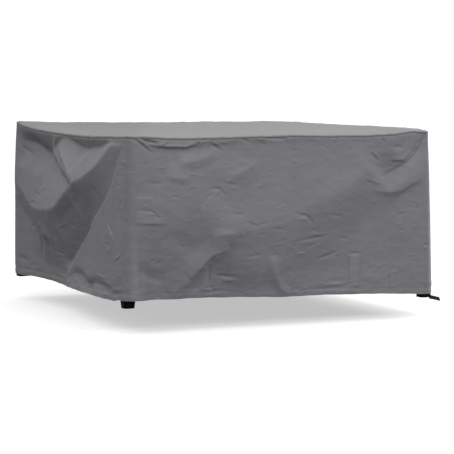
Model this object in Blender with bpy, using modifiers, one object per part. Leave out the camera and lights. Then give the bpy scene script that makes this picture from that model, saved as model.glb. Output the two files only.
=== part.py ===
"""Fitted cloth cover that hangs over a square set of patio furniture.

The cover is hollow: a top panel, four walls with a turned hem, and a webbing strap at each
corner that closes round a furniture leg. Lengths are in metres. Heights in the tables are
above the floor, and the finished part has its origin at the middle of the top panel's
underside, +Z up, the front wall on the -Y side.
"""
import math
from collections import namedtuple

import bmesh
import bpy
from mathutils import Vector

# Driving dimensions
SIDE_LENGTH = 1.516
HALF_SIDE = SIDE_LENGTH / 2
SHEET = 0.002
SEAM_GAP = 0.0003
CENTRE_HEIGHT = 0.860
MIDDLE_UNDERSIDE = CENTRE_HEIGHT - SHEET

# Top panel edge and wall head
EDGE_ROLL = 0.014
EDGE_LIP = 0.004
EDGE_DROP = EDGE_ROLL + EDGE_LIP
SEAM_STRIP = 0.008
TOP_RINGS = (0.0, 0.25, 0.45, 0.65, 0.82, 0.93, 1.0)
ROLL_ANGLES = (30, 60, 90)

# Walls
HEM_STRIP = 0.045
LEAST_ROW = 0.005
SOFTNESS = 0.45
ARC_ANGLE = math.radians(30)
HALF_CHORD = math.sin(math.radians(15))
WALL_ROWS = (1, 1, 2, 1, 3, 3, 1, 3, 1)

# Corner straps
WEBBING_WIDTH = 0.030
LOOP_HALF = 0.029
LOOP_FACET = 0.014
TAB_RISE = 0.034
TAB_HALF = 0.0065

CLOTH_GREY = (0.165, 0.165, 0.176, 1.0)
TOP_GREY = (0.190, 0.190, 0.200, 1.0)
WEBBING_BLACK = (0.012, 0.012, 0.013, 1.0)

Corner = namedtuple("Corner", "toward top_radius hem_radius out_mid out_hem")
CORNERS = {
    "front_left": Corner((-1, -1), 0.030, 0.060, 0.012, 0.030),
    "front_right": Corner((1, -1), 0.030, 0.035, 0.014, 0.024),
    "back_left": Corner((-1, 1), 0.030, 0.035, 0.012, 0.013),
    "back_right": Corner((1, 1), 0.030, 0.040, 0.010, 0.018),
}

# along is measured from the start corner, outward is away from the furniture
Side = namedtuple("Side", "start end along outward")
SIDES = {
    "front_wall": Side("front_left", "front_right", Vector((1, 0)), Vector((0, -1))),
    "right_wall": Side("front_right", "back_right", Vector((0, 1)), Vector((1, 0))),
    "back_wall": Side("back_left", "back_right", Vector((1, 0)), Vector((0, 1))),
    "left_wall": Side("front_left", "back_left", Vector((0, 1)), Vector((-1, 0))),
}

# Height of the rolled edge and of the hem along each wall
Edge = namedtuple("Edge", "along rim hem")
EDGES = {
    "front_wall": (
        Edge(0.03, 0.876, 0.152),
        Edge(0.10, 0.873, 0.153),
        Edge(0.20, 0.867, 0.150),
        Edge(0.35, 0.865, 0.149),
        Edge(0.50, 0.866, 0.143),
        Edge(0.75, 0.869, 0.133),
        Edge(0.95, 0.865, 0.131),
        Edge(1.15, 0.863, 0.126),
        Edge(1.32, 0.865, 0.119),
        Edge(1.42, 0.875, 0.113),
        Edge(1.486, 0.878, 0.112),
    ),
    "left_wall": (
        Edge(0.03, 0.876, 0.152),
        Edge(0.10, 0.873, 0.144),
        Edge(0.25, 0.868, 0.140),
        Edge(0.40, 0.862, 0.139),
        Edge(0.55, 0.858, 0.136),
        Edge(0.75, 0.857, 0.133),
        Edge(0.95, 0.858, 0.129),
        Edge(1.10, 0.860, 0.131),
        Edge(1.25, 0.865, 0.133),
        Edge(1.38, 0.874, 0.126),
        Edge(1.486, 0.888, 0.124),
    ),
    "back_wall": (
        Edge(0.03, 0.888, 0.124),
        Edge(0.12, 0.885, 0.127),
        Edge(0.28, 0.880, 0.133),
        Edge(0.45, 0.877, 0.136),
        Edge(0.62, 0.874, 0.131),
        Edge(0.78, 0.872, 0.128),
        Edge(0.95, 0.871, 0.133),
        Edge(1.12, 0.870, 0.136),
        Edge(1.28, 0.868, 0.130),
        Edge(1.40, 0.868, 0.124),
        Edge(1.486, 0.864, 0.122),
    ),
    "right_wall": (
        Edge(0.03, 0.878, 0.112),
        Edge(0.10, 0.880, 0.117),
        Edge(0.25, 0.878, 0.123),
        Edge(0.40, 0.877, 0.129),
        Edge(0.58, 0.875, 0.131),
        Edge(0.75, 0.872, 0.127),
        Edge(0.92, 0.870, 0.130),
        Edge(1.10, 0.868, 0.134),
        Edge(1.25, 0.867, 0.129),
        Edge(1.38, 0.867, 0.124),
        Edge(1.486, 0.864, 0.122),
    ),
}

# How a wall falls at a place along it: the height of six folds, and how far each stands out
Fall = namedtuple(
    "Fall",
    "along tuck tuck_out shelf shelf_out step step_out crest crest_out"
    " hollow hollow_out lip lip_out hem_out",
)
LEFT_WALL_FALLS = (
    Fall(0.00, 0.843, 0.000, 0.836, 0.000, 0.829, 0.000, 0.819, 0.001, 0.795, 0.002, 0.775, 0.004, 0.024),
    Fall(0.06, 0.846, 0.000, 0.842, 0.000, 0.838, 0.000, 0.852, 0.001, 0.822, 0.000, 0.800, 0.003, 0.026),
    Fall(0.13, 0.845, 0.000, 0.839, 0.001, 0.836, 0.003, 0.845, 0.006, 0.762, -0.001, 0.742, 0.003, 0.029),
    Fall(0.20, 0.842, 0.001, 0.836, 0.003, 0.829, 0.008, 0.818, 0.014, 0.656, 0.000, 0.636, 0.005, 0.031),
    Fall(0.28, 0.828, -0.007, 0.814, 0.003, 0.792, 0.015, 0.756, 0.028, 0.583, 0.002, 0.564, 0.008, 0.032),
    Fall(0.36, 0.810, -0.012, 0.790, 0.003, 0.758, 0.021, 0.708, 0.040, 0.530, -0.002, 0.511, 0.005, 0.030),
    Fall(0.44, 0.804, -0.015, 0.776, 0.003, 0.736, 0.025, 0.677, 0.050, 0.492, -0.008, 0.472, -0.001, 0.027),
    Fall(0.52, 0.796, -0.017, 0.760, 0.011, 0.712, 0.036, 0.650, 0.060, 0.424, -0.015, 0.402, -0.007, 0.022),
    Fall(0.61, 0.806, -0.014, 0.678, 0.050, 0.645, 0.060, 0.613, 0.064, 0.362, -0.022, 0.338, -0.012, 0.014),
    Fall(0.70, 0.828, -0.008, 0.690, 0.047, 0.652, 0.042, 0.568, 0.062, 0.304, -0.027, 0.272, -0.014, 0.006),
    Fall(0.79, 0.840, -0.003, 0.716, 0.034, 0.668, 0.023, 0.515, 0.058, 0.250, -0.027, 0.215, -0.016, -0.006),
    Fall(0.88, 0.818, -0.010, 0.742, 0.013, 0.692, 0.002, 0.496, 0.054, 0.270, -0.014, 0.200, -0.024, -0.020),
    Fall(0.97, 0.778, -0.024, 0.752, -0.014, 0.706, -0.020, 0.488, 0.050, 0.280, -0.010, 0.204, -0.028, -0.028),
    Fall(1.06, 0.744, -0.034, 0.732, -0.032, 0.712, -0.026, 0.482, 0.044, 0.280, -0.010, 0.205, -0.028, -0.028),
    Fall(1.15, 0.758, -0.034, 0.726, -0.024, 0.637, 0.008, 0.484, 0.038, 0.310, -0.006, 0.215, -0.022, -0.022),
    Fall(1.25, 0.786, -0.028, 0.726, -0.018, 0.645, 0.010, 0.514, 0.032, 0.380, -0.004, 0.240, -0.011, -0.010),
    Fall(1.35, 0.796, -0.021, 0.724, -0.014, 0.660, 0.007, 0.553, 0.025, 0.430, -0.005, 0.250, -0.005, 0.000),
    Fall(1.44, 0.803, -0.011, 0.722, -0.004, 0.668, 0.011, 0.582, 0.019, 0.470, 0.001, 0.250, 0.006, 0.008),
    Fall(1.516, 0.807, 0.001, 0.722, 0.007, 0.668, 0.010, 0.590, 0.014, 0.470, 0.010, 0.250, 0.012, 0.012),
)
FRONT_WALL_FALLS = (
    Fall(0.00, 0.825, 0.001, 0.740, 0.004, 0.640, 0.008, 0.500, 0.014, 0.330, 0.013, 0.270, 0.010, 0.014),
    Fall(0.12, 0.830, -0.002, 0.745, 0.005, 0.645, 0.011, 0.505, 0.019, 0.340, 0.010, 0.260, 0.001, -0.008),
    Fall(0.30, 0.812, -0.006, 0.740, 0.008, 0.650, 0.014, 0.520, 0.022, 0.340, 0.006, 0.260, -0.001, -0.008),
    Fall(0.42, 0.825, -0.004, 0.730, 0.006, 0.610, 0.012, 0.440, 0.024, 0.330, 0.010, 0.260, -0.001, -0.009),
    Fall(0.58, 0.830, -0.002, 0.720, 0.004, 0.600, 0.011, 0.440, 0.023, 0.320, 0.011, 0.250, 0.001, -0.008),
    Fall(0.75, 0.830, -0.001, 0.720, 0.003, 0.600, 0.010, 0.470, 0.020, 0.300, 0.010, 0.240, 0.003, -0.002),
    Fall(0.90, 0.830, -0.001, 0.740, 0.004, 0.640, 0.011, 0.540, 0.020, 0.340, 0.006, 0.240, -0.002, -0.004),
    Fall(1.05, 0.830, -0.001, 0.760, 0.004, 0.680, 0.011, 0.600, 0.018, 0.360, 0.000, 0.250, -0.004, -0.002),
    Fall(1.18, 0.830, -0.001, 0.790, 0.003, 0.735, 0.008, 0.690, 0.013, 0.450, -0.003, 0.300, -0.004, 0.000),
    Fall(1.30, 0.830, 0.000, 0.790, 0.000, 0.700, -0.009, 0.605, 0.005, 0.520, -0.003, 0.400, -0.004, 0.002),
    Fall(1.40, 0.825, -0.001, 0.790, -0.001, 0.742, 0.003, 0.655, 0.012, 0.600, 0.006, 0.450, 0.005, 0.009),
    Fall(1.516, 0.830, 0.001, 0.780, 0.003, 0.740, 0.006, 0.690, 0.009, 0.620, 0.010, 0.450, 0.012, 0.018),
)
BACK_WALL_FALLS = (
    Fall(0.00, 0.830, 0.001, 0.760, 0.003, 0.680, 0.005, 0.560, 0.009, 0.320, 0.011, 0.260, 0.012, 0.012),
    Fall(0.15, 0.828, -0.003, 0.755, 0.000, 0.670, 0.006, 0.540, 0.014, 0.310, 0.004, 0.250, 0.006, 0.012),
    Fall(0.35, 0.826, -0.006, 0.740, 0.000, 0.650, 0.008, 0.500, 0.018, 0.300, -0.002, 0.240, 0.002, 0.014),
    Fall(0.55, 0.830, -0.004, 0.745, -0.004, 0.640, 0.002, 0.470, 0.012, 0.300, 0.002, 0.240, 0.003, 0.006),
    Fall(0.78, 0.832, -0.002, 0.750, -0.008, 0.640, -0.003, 0.450, 0.010, 0.290, 0.006, 0.230, 0.008, 0.012),
    Fall(1.00, 0.828, -0.005, 0.745, -0.002, 0.660, 0.006, 0.500, 0.016, 0.310, 0.002, 0.250, 0.003, 0.008),
    Fall(1.20, 0.826, -0.005, 0.740, 0.002, 0.670, 0.012, 0.560, 0.022, 0.320, -0.004, 0.260, 0.002, 0.014),
    Fall(1.36, 0.828, -0.002, 0.750, 0.001, 0.690, 0.006, 0.600, 0.013, 0.330, 0.004, 0.270, 0.008, 0.016),
    Fall(1.516, 0.828, 0.001, 0.760, 0.002, 0.690, 0.004, 0.600, 0.007, 0.330, 0.012, 0.260, 0.014, 0.018),
)
RIGHT_WALL_FALLS = (
    Fall(0.00, 0.830, 0.002, 0.760, 0.004, 0.680, 0.007, 0.580, 0.010, 0.400, 0.018, 0.300, 0.022, 0.027),
    Fall(0.12, 0.832, -0.001, 0.765, 0.001, 0.690, 0.004, 0.590, 0.008, 0.400, 0.013, 0.300, 0.017, 0.022),
    Fall(0.30, 0.815, -0.008, 0.745, 0.003, 0.680, 0.014, 0.600, 0.026, 0.360, -0.008, 0.300, 0.000, 0.020),
    Fall(0.48, 0.800, -0.012, 0.725, 0.004, 0.650, 0.020, 0.550, 0.036, 0.300, -0.010, 0.250, -0.002, 0.018),
    Fall(0.68, 0.810, -0.010, 0.715, 0.004, 0.620, 0.018, 0.490, 0.034, 0.260, 0.000, 0.210, 0.003, 0.010),
    Fall(0.88, 0.795, -0.014, 0.720, -0.006, 0.630, 0.010, 0.470, 0.028, 0.250, 0.004, 0.200, 0.005, 0.008),
    Fall(1.08, 0.790, -0.016, 0.715, -0.006, 0.640, 0.008, 0.500, 0.026, 0.270, 0.000, 0.220, 0.004, 0.012),
    Fall(1.28, 0.815, -0.008, 0.740, 0.000, 0.670, 0.010, 0.560, 0.020, 0.310, 0.004, 0.250, 0.007, 0.016),
    Fall(1.40, 0.826, -0.002, 0.755, 0.001, 0.690, 0.006, 0.600, 0.012, 0.330, 0.008, 0.260, 0.011, 0.017),
    Fall(1.516, 0.828, 0.001, 0.760, 0.002, 0.690, 0.004, 0.600, 0.007, 0.330, 0.012, 0.260, 0.014, 0.018),
)
FALLS = {
    "left_wall": LEFT_WALL_FALLS,
    "front_wall": FRONT_WALL_FALLS,
    "back_wall": BACK_WALL_FALLS,
    "right_wall": RIGHT_WALL_FALLS,
}

# Stations between the rows above where a wall carries narrow folds
EXTRA_STATIONS = {
    "front_wall": (
        0.06, 0.18, 0.24, 0.36, 0.47, 0.52, 0.64, 0.69,
        0.80, 0.85, 0.98, 1.085, 1.115, 1.145, 1.24, 1.35,
    ),
    "left_wall": (0.095, 0.165, 0.32, 0.48, 0.57, 0.65, 0.835, 0.92, 1.02, 1.20, 1.30, 1.40),
    "back_wall": (0.07, 0.25, 0.45, 0.66, 0.90, 1.10, 1.28, 1.43),
    "right_wall": (0.06, 0.20, 0.39, 0.58, 0.78, 0.98, 1.18, 1.34, 1.45),
}

# Narrow folds: a raised or sunk line between two points of a wall, fading over its spread
Fold = namedtuple("Fold", "along height to_along to_height out spread")
FOLDS = {
    "front_wall": (
        Fold(0.42, 0.350, 0.22, 0.205, 0.012, 0.085),
        Fold(0.50, 0.320, 0.33, 0.200, -0.008, 0.075),
        Fold(0.375, 0.250, 0.375, 0.150, 0.005, 0.050),
        Fold(0.70, 0.300, 0.79, 0.140, 0.006, 0.060),
        Fold(1.115, 0.290, 1.115, 0.130, 0.005, 0.050),
    ),
    "left_wall": (
        Fold(1.18, 0.340, 1.18, 0.240, 0.006, 0.050),
        Fold(0.77, 0.210, 0.77, 0.140, 0.007, 0.055),
    ),
    "back_wall": (
        Fold(0.40, 0.280, 0.40, 0.130, 0.008, 0.090),
        Fold(1.14, 0.290, 1.10, 0.140, 0.008, 0.090),
    ),
    "right_wall": (
        Fold(0.40, 0.260, 0.44, 0.130, 0.008, 0.090),
        Fold(1.12, 0.280, 1.08, 0.130, 0.009, 0.090),
    ),
}

# Low swells where the furniture backs stand under the top panel
Swell = namedtuple("Swell", "x y rise spread")
SWELLS = (
    Swell(-0.38, -0.56, 0.006, 0.26),
    Swell(0.36, -0.58, 0.005, 0.26),
    Swell(-0.60, 0.10, 0.005, 0.24),
    Swell(0.58, 0.20, 0.006, 0.26),
    Swell(-0.10, 0.58, 0.006, 0.28),
)

# How far each loop hangs below the hem, how much its foot is drawn in, and its shift sideways
Strap = namedtuple("Strap", "corner below_hem foot_scale shift")
STRAPS = {
    "front_left_strap": Strap("front_left", 0.036, 0.88, (-0.0064, 0.0325)),
    "front_right_strap": Strap("front_right", 0.015, 1.0, (0, 0)),
    "back_left_strap": Strap("back_left", 0.013, 1.0, (0, 0)),
    "back_right_strap": Strap("back_right", 0.014, 1.0, (0, 0)),
}

# Centre line of the free end of the front right strap, from the loop outward
Tail = namedtuple("Tail", "x y height tilt")
FREE_END = (
    Tail(-0.0015, -0.004, 0.103, 38),
    Tail(0.012, -0.006, 0.101, 36),
    Tail(0.026, -0.009, 0.098, 36),
    Tail(0.040, -0.013, 0.093, 40),
    Tail(0.050, -0.017, 0.088, 44),
)
FREE_END_WIDTH = 0.020


def clear_scene():
    for item in list(bpy.data.objects):
        bpy.data.objects.remove(item, do_unlink=True)


def cloth_material(name, colour, roughness):
    material = bpy.data.materials.new(name)
    material.use_nodes = True
    shader = material.node_tree.nodes["Principled BSDF"]
    shader.inputs["Base Color"].default_value = colour
    shader.inputs["Roughness"].default_value = roughness
    shader.inputs["Metallic"].default_value = 0.0
    return material


def straight_between(rows, along, field):
    """Value of a table column at a place along a wall, straight between its rows."""
    for near, far in zip(rows, rows[1:]):
        if along <= far.along:
            share = max((along - near.along) / (far.along - near.along), 0)
            return getattr(near, field) * (1 - share) + getattr(far, field) * share
    return getattr(rows[-1], field)


def smooth_between(rows, along, field):
    """Value of a table column at a place along a wall, on a smooth curve through its rows."""
    values = [getattr(row, field) for row in rows]
    places = [row.along for row in rows]
    last = len(rows) - 1
    for index in range(last):
        if along <= places[index + 1]:
            break
    before = max(index - 1, 0)
    after = min(index + 2, last)
    reach = places[index + 1] - places[index]
    slope_near = (values[index + 1] - values[before]) / (places[index + 1] - places[before]) * reach
    slope_far = (values[after] - values[index]) / (places[after] - places[index]) * reach
    share = min(max((along - places[index]) / reach, 0), 1)
    square = share * share
    cube = square * share
    return (
        values[index] * (2 * cube - 3 * square + 1)
        + slope_near * (cube - 2 * square + share)
        + values[index + 1] * (3 * square - 2 * cube)
        + slope_far * (cube - square)
    )


def fall_share(side_name, end, height):
    """How far down its corner a height is: 0 at the rim, 1 at the hem."""
    edge = EDGES[side_name][end]
    return min(max((edge.rim - height) / (edge.rim - edge.hem), 0), 1)


def corner_radius(corner, share):
    return corner.top_radius + (corner.hem_radius - corner.top_radius) * share


def corner_out(corner, share):
    """Flare of a corner seam, a curve through its middle and its hem."""
    return corner.out_mid * 4 * share * (1 - share) + corner.out_hem * share * (2 * share - 1)


def seam_outward(corner):
    """Outward direction at a corner seam."""
    return Vector(corner.toward).normalized()


def plan_point(side_name, station, height, out):
    """Plan position of a station of a wall. A station is (kind, place)."""
    side = SIDES[side_name]
    kind, place = station
    start = Vector(CORNERS[side.start].toward) * HALF_SIDE
    if kind == "straight":
        return start + side.along * place + side.outward * out
    at_start = kind.endswith("start")
    end = 0 if at_start else -1
    corner = CORNERS[side.start if at_start else side.end]
    along = side.along if at_start else -side.along
    home = Vector(corner.toward) * HALF_SIDE
    share = fall_share(side_name, end, height)
    radius = corner_radius(corner, share)
    if kind.startswith("edge"):
        return home + along * radius + side.outward * out
    diagonal = seam_outward(corner)
    arc = home + along * radius * (1 - math.sin(ARC_ANGLE))
    arc -= side.outward * radius * (1 - math.cos(ARC_ANGLE))
    toward_seam = -(along + side.outward).normalized()
    chord = radius * HALF_CHORD - place if kind.startswith("seam") else 0
    return arc + toward_seam * chord + diagonal * out


def wall_stations(side_name):
    inner = {row.along for row in FALLS[side_name][1:-1]}
    inner |= {row.along for row in EDGES[side_name][1:-1]}
    inner |= set(EXTRA_STATIONS[side_name])
    stations = [("seam start", SEAM_GAP / 2), ("turn start", 0), ("edge start", 0)]
    kept = 0.0
    for place in sorted(inner):
        if place - kept > 0.018:
            stations.append(("straight", place))
            kept = place
    return stations + [("edge end", 0), ("turn end", 0), ("seam end", SEAM_GAP / 2)]


def station_along(station):
    kind, place = station
    if kind == "straight":
        return place
    return 0.0 if kind.endswith("start") else SIDE_LENGTH


def fold_out(side_name, along, height):
    """Sum of the narrow folds at a point of a wall."""
    total = 0.0
    here = Vector((along, height))
    for fold in FOLDS[side_name]:
        near = Vector((fold.along, fold.height))
        run = Vector((fold.to_along, fold.to_height)) - near
        share = min(max((here - near).dot(run) / run.length_squared, 0), 1)
        distance = (here - near - run * share).length
        if distance < fold.spread:
            total += fold.out * (0.5 + 0.5 * math.cos(math.pi * distance / fold.spread))
    return total


def soften(share):
    """Share of the way between two folds, eased so that each fold is rounded."""
    eased = share * share * (3 - 2 * share)
    return share + SOFTNESS * (eased - share)


def wall_profile(side_name, along):
    """Rows (height, out) down a wall at a place along it, from its head to its hem."""
    rows = FALLS[side_name]
    rim = straight_between(EDGES[side_name], along, "rim") - EDGE_DROP - SEAM_GAP
    hem = straight_between(EDGES[side_name], along, "hem")
    heights = [rim, rim - SEAM_STRIP]
    outs = [0.0, 0.0]
    for name in ("tuck", "shelf", "step", "crest", "hollow", "lip"):
        heights.append(min(smooth_between(rows, along, name), heights[-1] - LEAST_ROW))
        outs.append(smooth_between(rows, along, name + "_out"))
    hem_out = smooth_between(rows, along, "hem_out")
    share = (heights[-1] - hem - HEM_STRIP) / (heights[-1] - hem)
    outs.append(outs[-1] + (hem_out - outs[-1]) * share)
    heights.append(hem + HEM_STRIP)
    heights.append(hem)
    outs.append(hem_out)
    profile = [(heights[0], outs[0])]
    for index, count in enumerate(WALL_ROWS):
        for part in range(1, count + 1):
            height = heights[index] + (heights[index + 1] - heights[index]) * part / count
            out = outs[index] + (outs[index + 1] - outs[index]) * soften(part / count)
            profile.append((height, out))
    return profile


def wall_column(side_name, station):
    """Points down a wall at a station."""
    along = station_along(station)
    side = SIDES[side_name]
    kind = station[0]
    column = []
    for index, (height, out) in enumerate(wall_profile(side_name, along)):
        if index < 2:
            out = 0.0
        elif kind.startswith(("seam", "turn")):
            at_start = kind.endswith("start")
            corner = CORNERS[side.start if at_start else side.end]
            share = fall_share(side_name, 0 if at_start else -1, height)
            out = corner_out(corner, share)
        else:
            out += fold_out(side_name, along, height)
        place = plan_point(side_name, station, height, out)
        column.append(Vector((place.x, place.y, height - MIDDLE_UNDERSIDE)))
    return column


def rim_points(side_name, inset, drop):
    """Points of the top panel's edge along one side, set in and lowered from its outer line."""
    points = []
    side = SIDES[side_name]
    stations = [("seam start", 0), ("turn start", 0), ("edge start", 0)]
    stations += [("straight", row.along) for row in EDGES[side_name][1:-1]]
    stations += [("edge end", 0), ("turn end", 0)]
    for station in stations:
        kind = station[0]
        height = straight_between(EDGES[side_name], station_along(station), "rim")
        place = plan_point(side_name, station, height, 0.0)
        outward = side.outward
        if kind.startswith(("seam", "turn")):
            corner = CORNERS[side.start if kind.endswith("start") else side.end]
            outward = seam_outward(corner)
        place = place - outward * inset
        points.append(Vector((place.x, place.y, height - drop)))
    return points


def rim_loop(inset, drop):
    """The top panel's edge all the way round."""
    front = rim_points("front_wall", inset, drop)
    right = rim_points("right_wall", inset, drop)
    back = rim_points("back_wall", inset, drop)
    left = rim_points("left_wall", inset, drop)
    back_end = loop_end("back_wall", "back_right", inset, drop)
    left_end = loop_end("left_wall", "back_left", inset, drop)
    return front + right + [back_end] + back[:0:-1] + [left_end] + left[:0:-1]


def loop_end(side_name, corner_name, inset, drop):
    """The corner point that closes a side walked backwards."""
    height = EDGES[side_name][-1].rim
    place = plan_point(side_name, ("seam end", 0), height, 0.0)
    place -= seam_outward(CORNERS[corner_name]) * inset
    return Vector((place.x, place.y, height - drop))


def swell_height(x, y):
    total = 0.0
    for swell in SWELLS:
        distance = math.hypot(x - swell.x, y - swell.y)
        if distance < swell.spread:
            total += swell.rise * (0.5 + 0.5 * math.cos(math.pi * distance / swell.spread))
    return total


def sheet_grid(columns, closed=False):
    """Mesh of a sheet from columns of points, made by moving a grid into place."""
    mesh = bmesh.new()
    across = len(columns) - 1
    down = len(columns[0]) - 1
    bmesh.ops.create_grid(mesh, x_segments=across, y_segments=down, size=1.0)
    for vert in mesh.verts:
        index = round((vert.co.x + 1) / 2 * across)
        row = round((1 - vert.co.y) / 2 * down)
        vert.co = columns[index][row]
    if closed:
        bmesh.ops.remove_doubles(mesh, verts=mesh.verts, dist=0.00005)
    return mesh


def finish_sheet(name, mesh, material, inward_point):
    """Turn the sheet's faces outward, give it its thickness and put it in the scene."""
    bmesh.ops.recalc_face_normals(mesh, faces=mesh.faces)
    mesh.faces.ensure_lookup_table()
    face = max(mesh.faces, key=lambda item: item.calc_area())
    if face.normal.dot(face.calc_center_median() - inward_point) < 0:
        bmesh.ops.reverse_faces(mesh, faces=mesh.faces)
    data = bpy.data.meshes.new(name)
    mesh.to_mesh(data)
    mesh.free()
    data.materials.append(material)
    item = bpy.data.objects.new(name, data)
    cover.objects.link(item)
    thickness = item.modifiers.new("sheet", "SOLIDIFY")
    thickness.thickness = SHEET
    thickness.offset = -1.0
    thickness.use_even_offset = True
    return item


def build_top_panel(material):
    rim = rim_loop(EDGE_ROLL, 0.0)
    centre = Vector((0, 0, CENTRE_HEIGHT))
    rings = []
    for share in TOP_RINGS:
        ring = []
        for point in rim:
            place = centre + (point - centre) * share
            place.z = centre.z + (point.z - centre.z) * share * share
            fade = 1 - share * share
            place.z += (swell_height(place.x, place.y) - swell_height(0, 0)) * fade
            ring.append(place)
        rings.append(ring)
    for angle in ROLL_ANGLES:
        turn = math.radians(angle)
        inset = EDGE_ROLL * (1 - math.sin(turn))
        rings.append(rim_loop(inset, EDGE_ROLL * (1 - math.cos(turn))))
    rings.append(rim_loop(0.0, EDGE_DROP))
    columns = []
    for index in range(len(rim) + 1):
        column = [ring[index % len(rim)] - Vector((0, 0, MIDDLE_UNDERSIDE)) for ring in rings]
        columns.append(column)
    mesh = sheet_grid(columns, closed=True)
    finish_sheet("top_panel", mesh, material, Vector((0, 0, -1)))


def build_wall(name, material):
    columns = [wall_column(name, station) for station in wall_stations(name)]
    middle = Vector((0, 0, -HALF_SIDE / 2))
    finish_sheet(name, sheet_grid(columns), material, middle)


def side_at(corner_name):
    """A side that meets a corner, and which end of its tables belongs to the corner."""
    name = next(key for key, side in SIDES.items() if corner_name in (side.start, side.end))
    return name, 0 if SIDES[name].start == corner_name else -1


def seam_inner_face(corner_name, height):
    """Plan point in the middle of a corner's inner face, and its outward direction."""
    corner = CORNERS[corner_name]
    side_name, end = side_at(corner_name)
    share = fall_share(side_name, end, height)
    kind = "seam start" if end == 0 else "seam end"
    outward = seam_outward(corner)
    face = plan_point(side_name, (kind, 0), height, corner_out(corner, share))
    return face - outward * SHEET, outward


def strap_plan(scale):
    """Outline of a strap loop about its centre, starting with the facet at 45 degrees."""
    half = LOOP_HALF * scale
    cut = half - LOOP_FACET * scale / math.sqrt(2)
    quarter = [Vector((half, cut)), Vector((cut, half)), Vector((0, half * 1.02))]
    outline = []
    for turn in range(4):
        for point in quarter:
            outline.append(Vector(point))
        quarter = [Vector((-point.y, point.x)) for point in quarter]
    return outline


def turned_outline(outline, toward):
    """The outline with its first facet facing a corner."""
    return [Vector((point.x * toward[0], point.y * toward[1])) for point in outline]


def build_strap(name, material):
    strap = STRAPS[name]
    corner = CORNERS[strap.corner]
    side_name, end = side_at(strap.corner)
    hem = EDGES[side_name][end].hem
    foot = hem - strap.below_hem
    head = foot + WEBBING_WIDTH
    face, outward = seam_inner_face(strap.corner, max(head, hem))
    reach = LOOP_HALF * math.sqrt(2) - LOOP_FACET / 2
    centre = face - outward * (reach + SEAM_GAP) + Vector(strap.shift)
    mesh = bmesh.new()
    count = len(strap_plan(1.0))
    bmesh.ops.create_cone(mesh, cap_ends=False, segments=count, radius1=1, radius2=1, depth=2)
    plans = {
        True: turned_outline(strap_plan(1.0), corner.toward),
        False: turned_outline(strap_plan(strap.foot_scale), corner.toward),
    }
    facet = []
    for vert in mesh.verts:
        upper = vert.co.z > 0
        angle = math.atan2(vert.co.y, vert.co.x) % math.tau
        index = round(angle / math.tau * count) % count
        place = centre + plans[upper][index]
        vert.co = Vector((place.x, place.y, (head if upper else foot) - MIDDLE_UNDERSIDE))
        if upper and index < 2:
            facet.append(vert)
    tab_edge = [edge for edge in mesh.edges if all(vert in facet for vert in edge.verts)]
    for height in (max(head, hem) + 0.004, hem + TAB_RISE):
        grown = bmesh.ops.extrude_edge_only(mesh, edges=tab_edge)["geom"]
        tab_edge = [item for item in grown if isinstance(item, bmesh.types.BMEdge)]
        tab_edge = [edge for edge in tab_edge if edge.is_boundary and edge.verts[0] in grown]
        tab_edge = [edge for edge in tab_edge if edge.verts[1] in grown]
        face, outward = seam_inner_face(strap.corner, height)
        sideways = Vector((-outward.y, outward.x))
        tab_verts = {vert for edge in tab_edge for vert in edge.verts}
        middle = sum((vert.co.xy for vert in tab_verts), Vector((0, 0))) / len(tab_verts)
        for vert in tab_verts:
            offset = sideways.dot(vert.co.xy - middle)
            place = face - outward * SEAM_GAP + sideways * math.copysign(TAB_HALF, offset)
            vert.co = Vector((place.x, place.y, height - MIDDLE_UNDERSIDE))
    inside = Vector((centre.x, centre.y, foot - MIDDLE_UNDERSIDE))
    return finish_sheet(name, mesh, material, inside), centre


def build_free_end(strap_item, centre, material):
    """The end of the webbing that sticks out past the loop, joined to the loop."""
    columns = []
    root = centre.x + LOOP_HALF
    for tail in FREE_END:
        tilt = math.radians(tail.tilt)
        half = Vector((0, math.cos(tilt), math.sin(tilt))) * FREE_END_WIDTH / 2
        middle = Vector((root + tail.x, centre.y + tail.y, tail.height - MIDDLE_UNDERSIDE))
        columns.append([middle + half, middle - half])
    end = finish_sheet("free_end", sheet_grid(columns), material, Vector((centre.x, centre.y, -1)))
    end.hide_render = True
    end.display_type = "WIRE"
    union = strap_item.modifiers.new("free end", "BOOLEAN")
    union.operation = "UNION"
    union.solver = "EXACT"
    union.object = end


clear_scene()
cover = bpy.data.collections.new("patio furniture cover")
bpy.context.scene.collection.children.link(cover)
wall_cloth = cloth_material("coated woven cloth, wall", CLOTH_GREY, 0.80)
top_cloth = cloth_material("coated woven cloth, top", TOP_GREY, 0.78)
webbing = cloth_material("black webbing", WEBBING_BLACK, 0.85)
build_top_panel(top_cloth)
for wall_name in SIDES:
    build_wall(wall_name, wall_cloth)
for strap_name in STRAPS:
    strap_object, loop_centre = build_strap(strap_name, webbing)
    if strap_name == "front_right_strap":
        build_free_end(strap_object, loop_centre, webbing)
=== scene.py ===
"""Looks of a square patio furniture cover: cloth panels and the webbing straps under them.

Lengths are in metres, but in millimetres in the tables of edges, falls and creases. Heights
in all tables are above the floor. The frame has its origin at the middle of the top panel's
underside, +Z up, the front wall on the -Y side.
"""
import math
from collections import namedtuple

import bmesh
import bpy
import numpy as np
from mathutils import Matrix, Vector, noise


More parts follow.
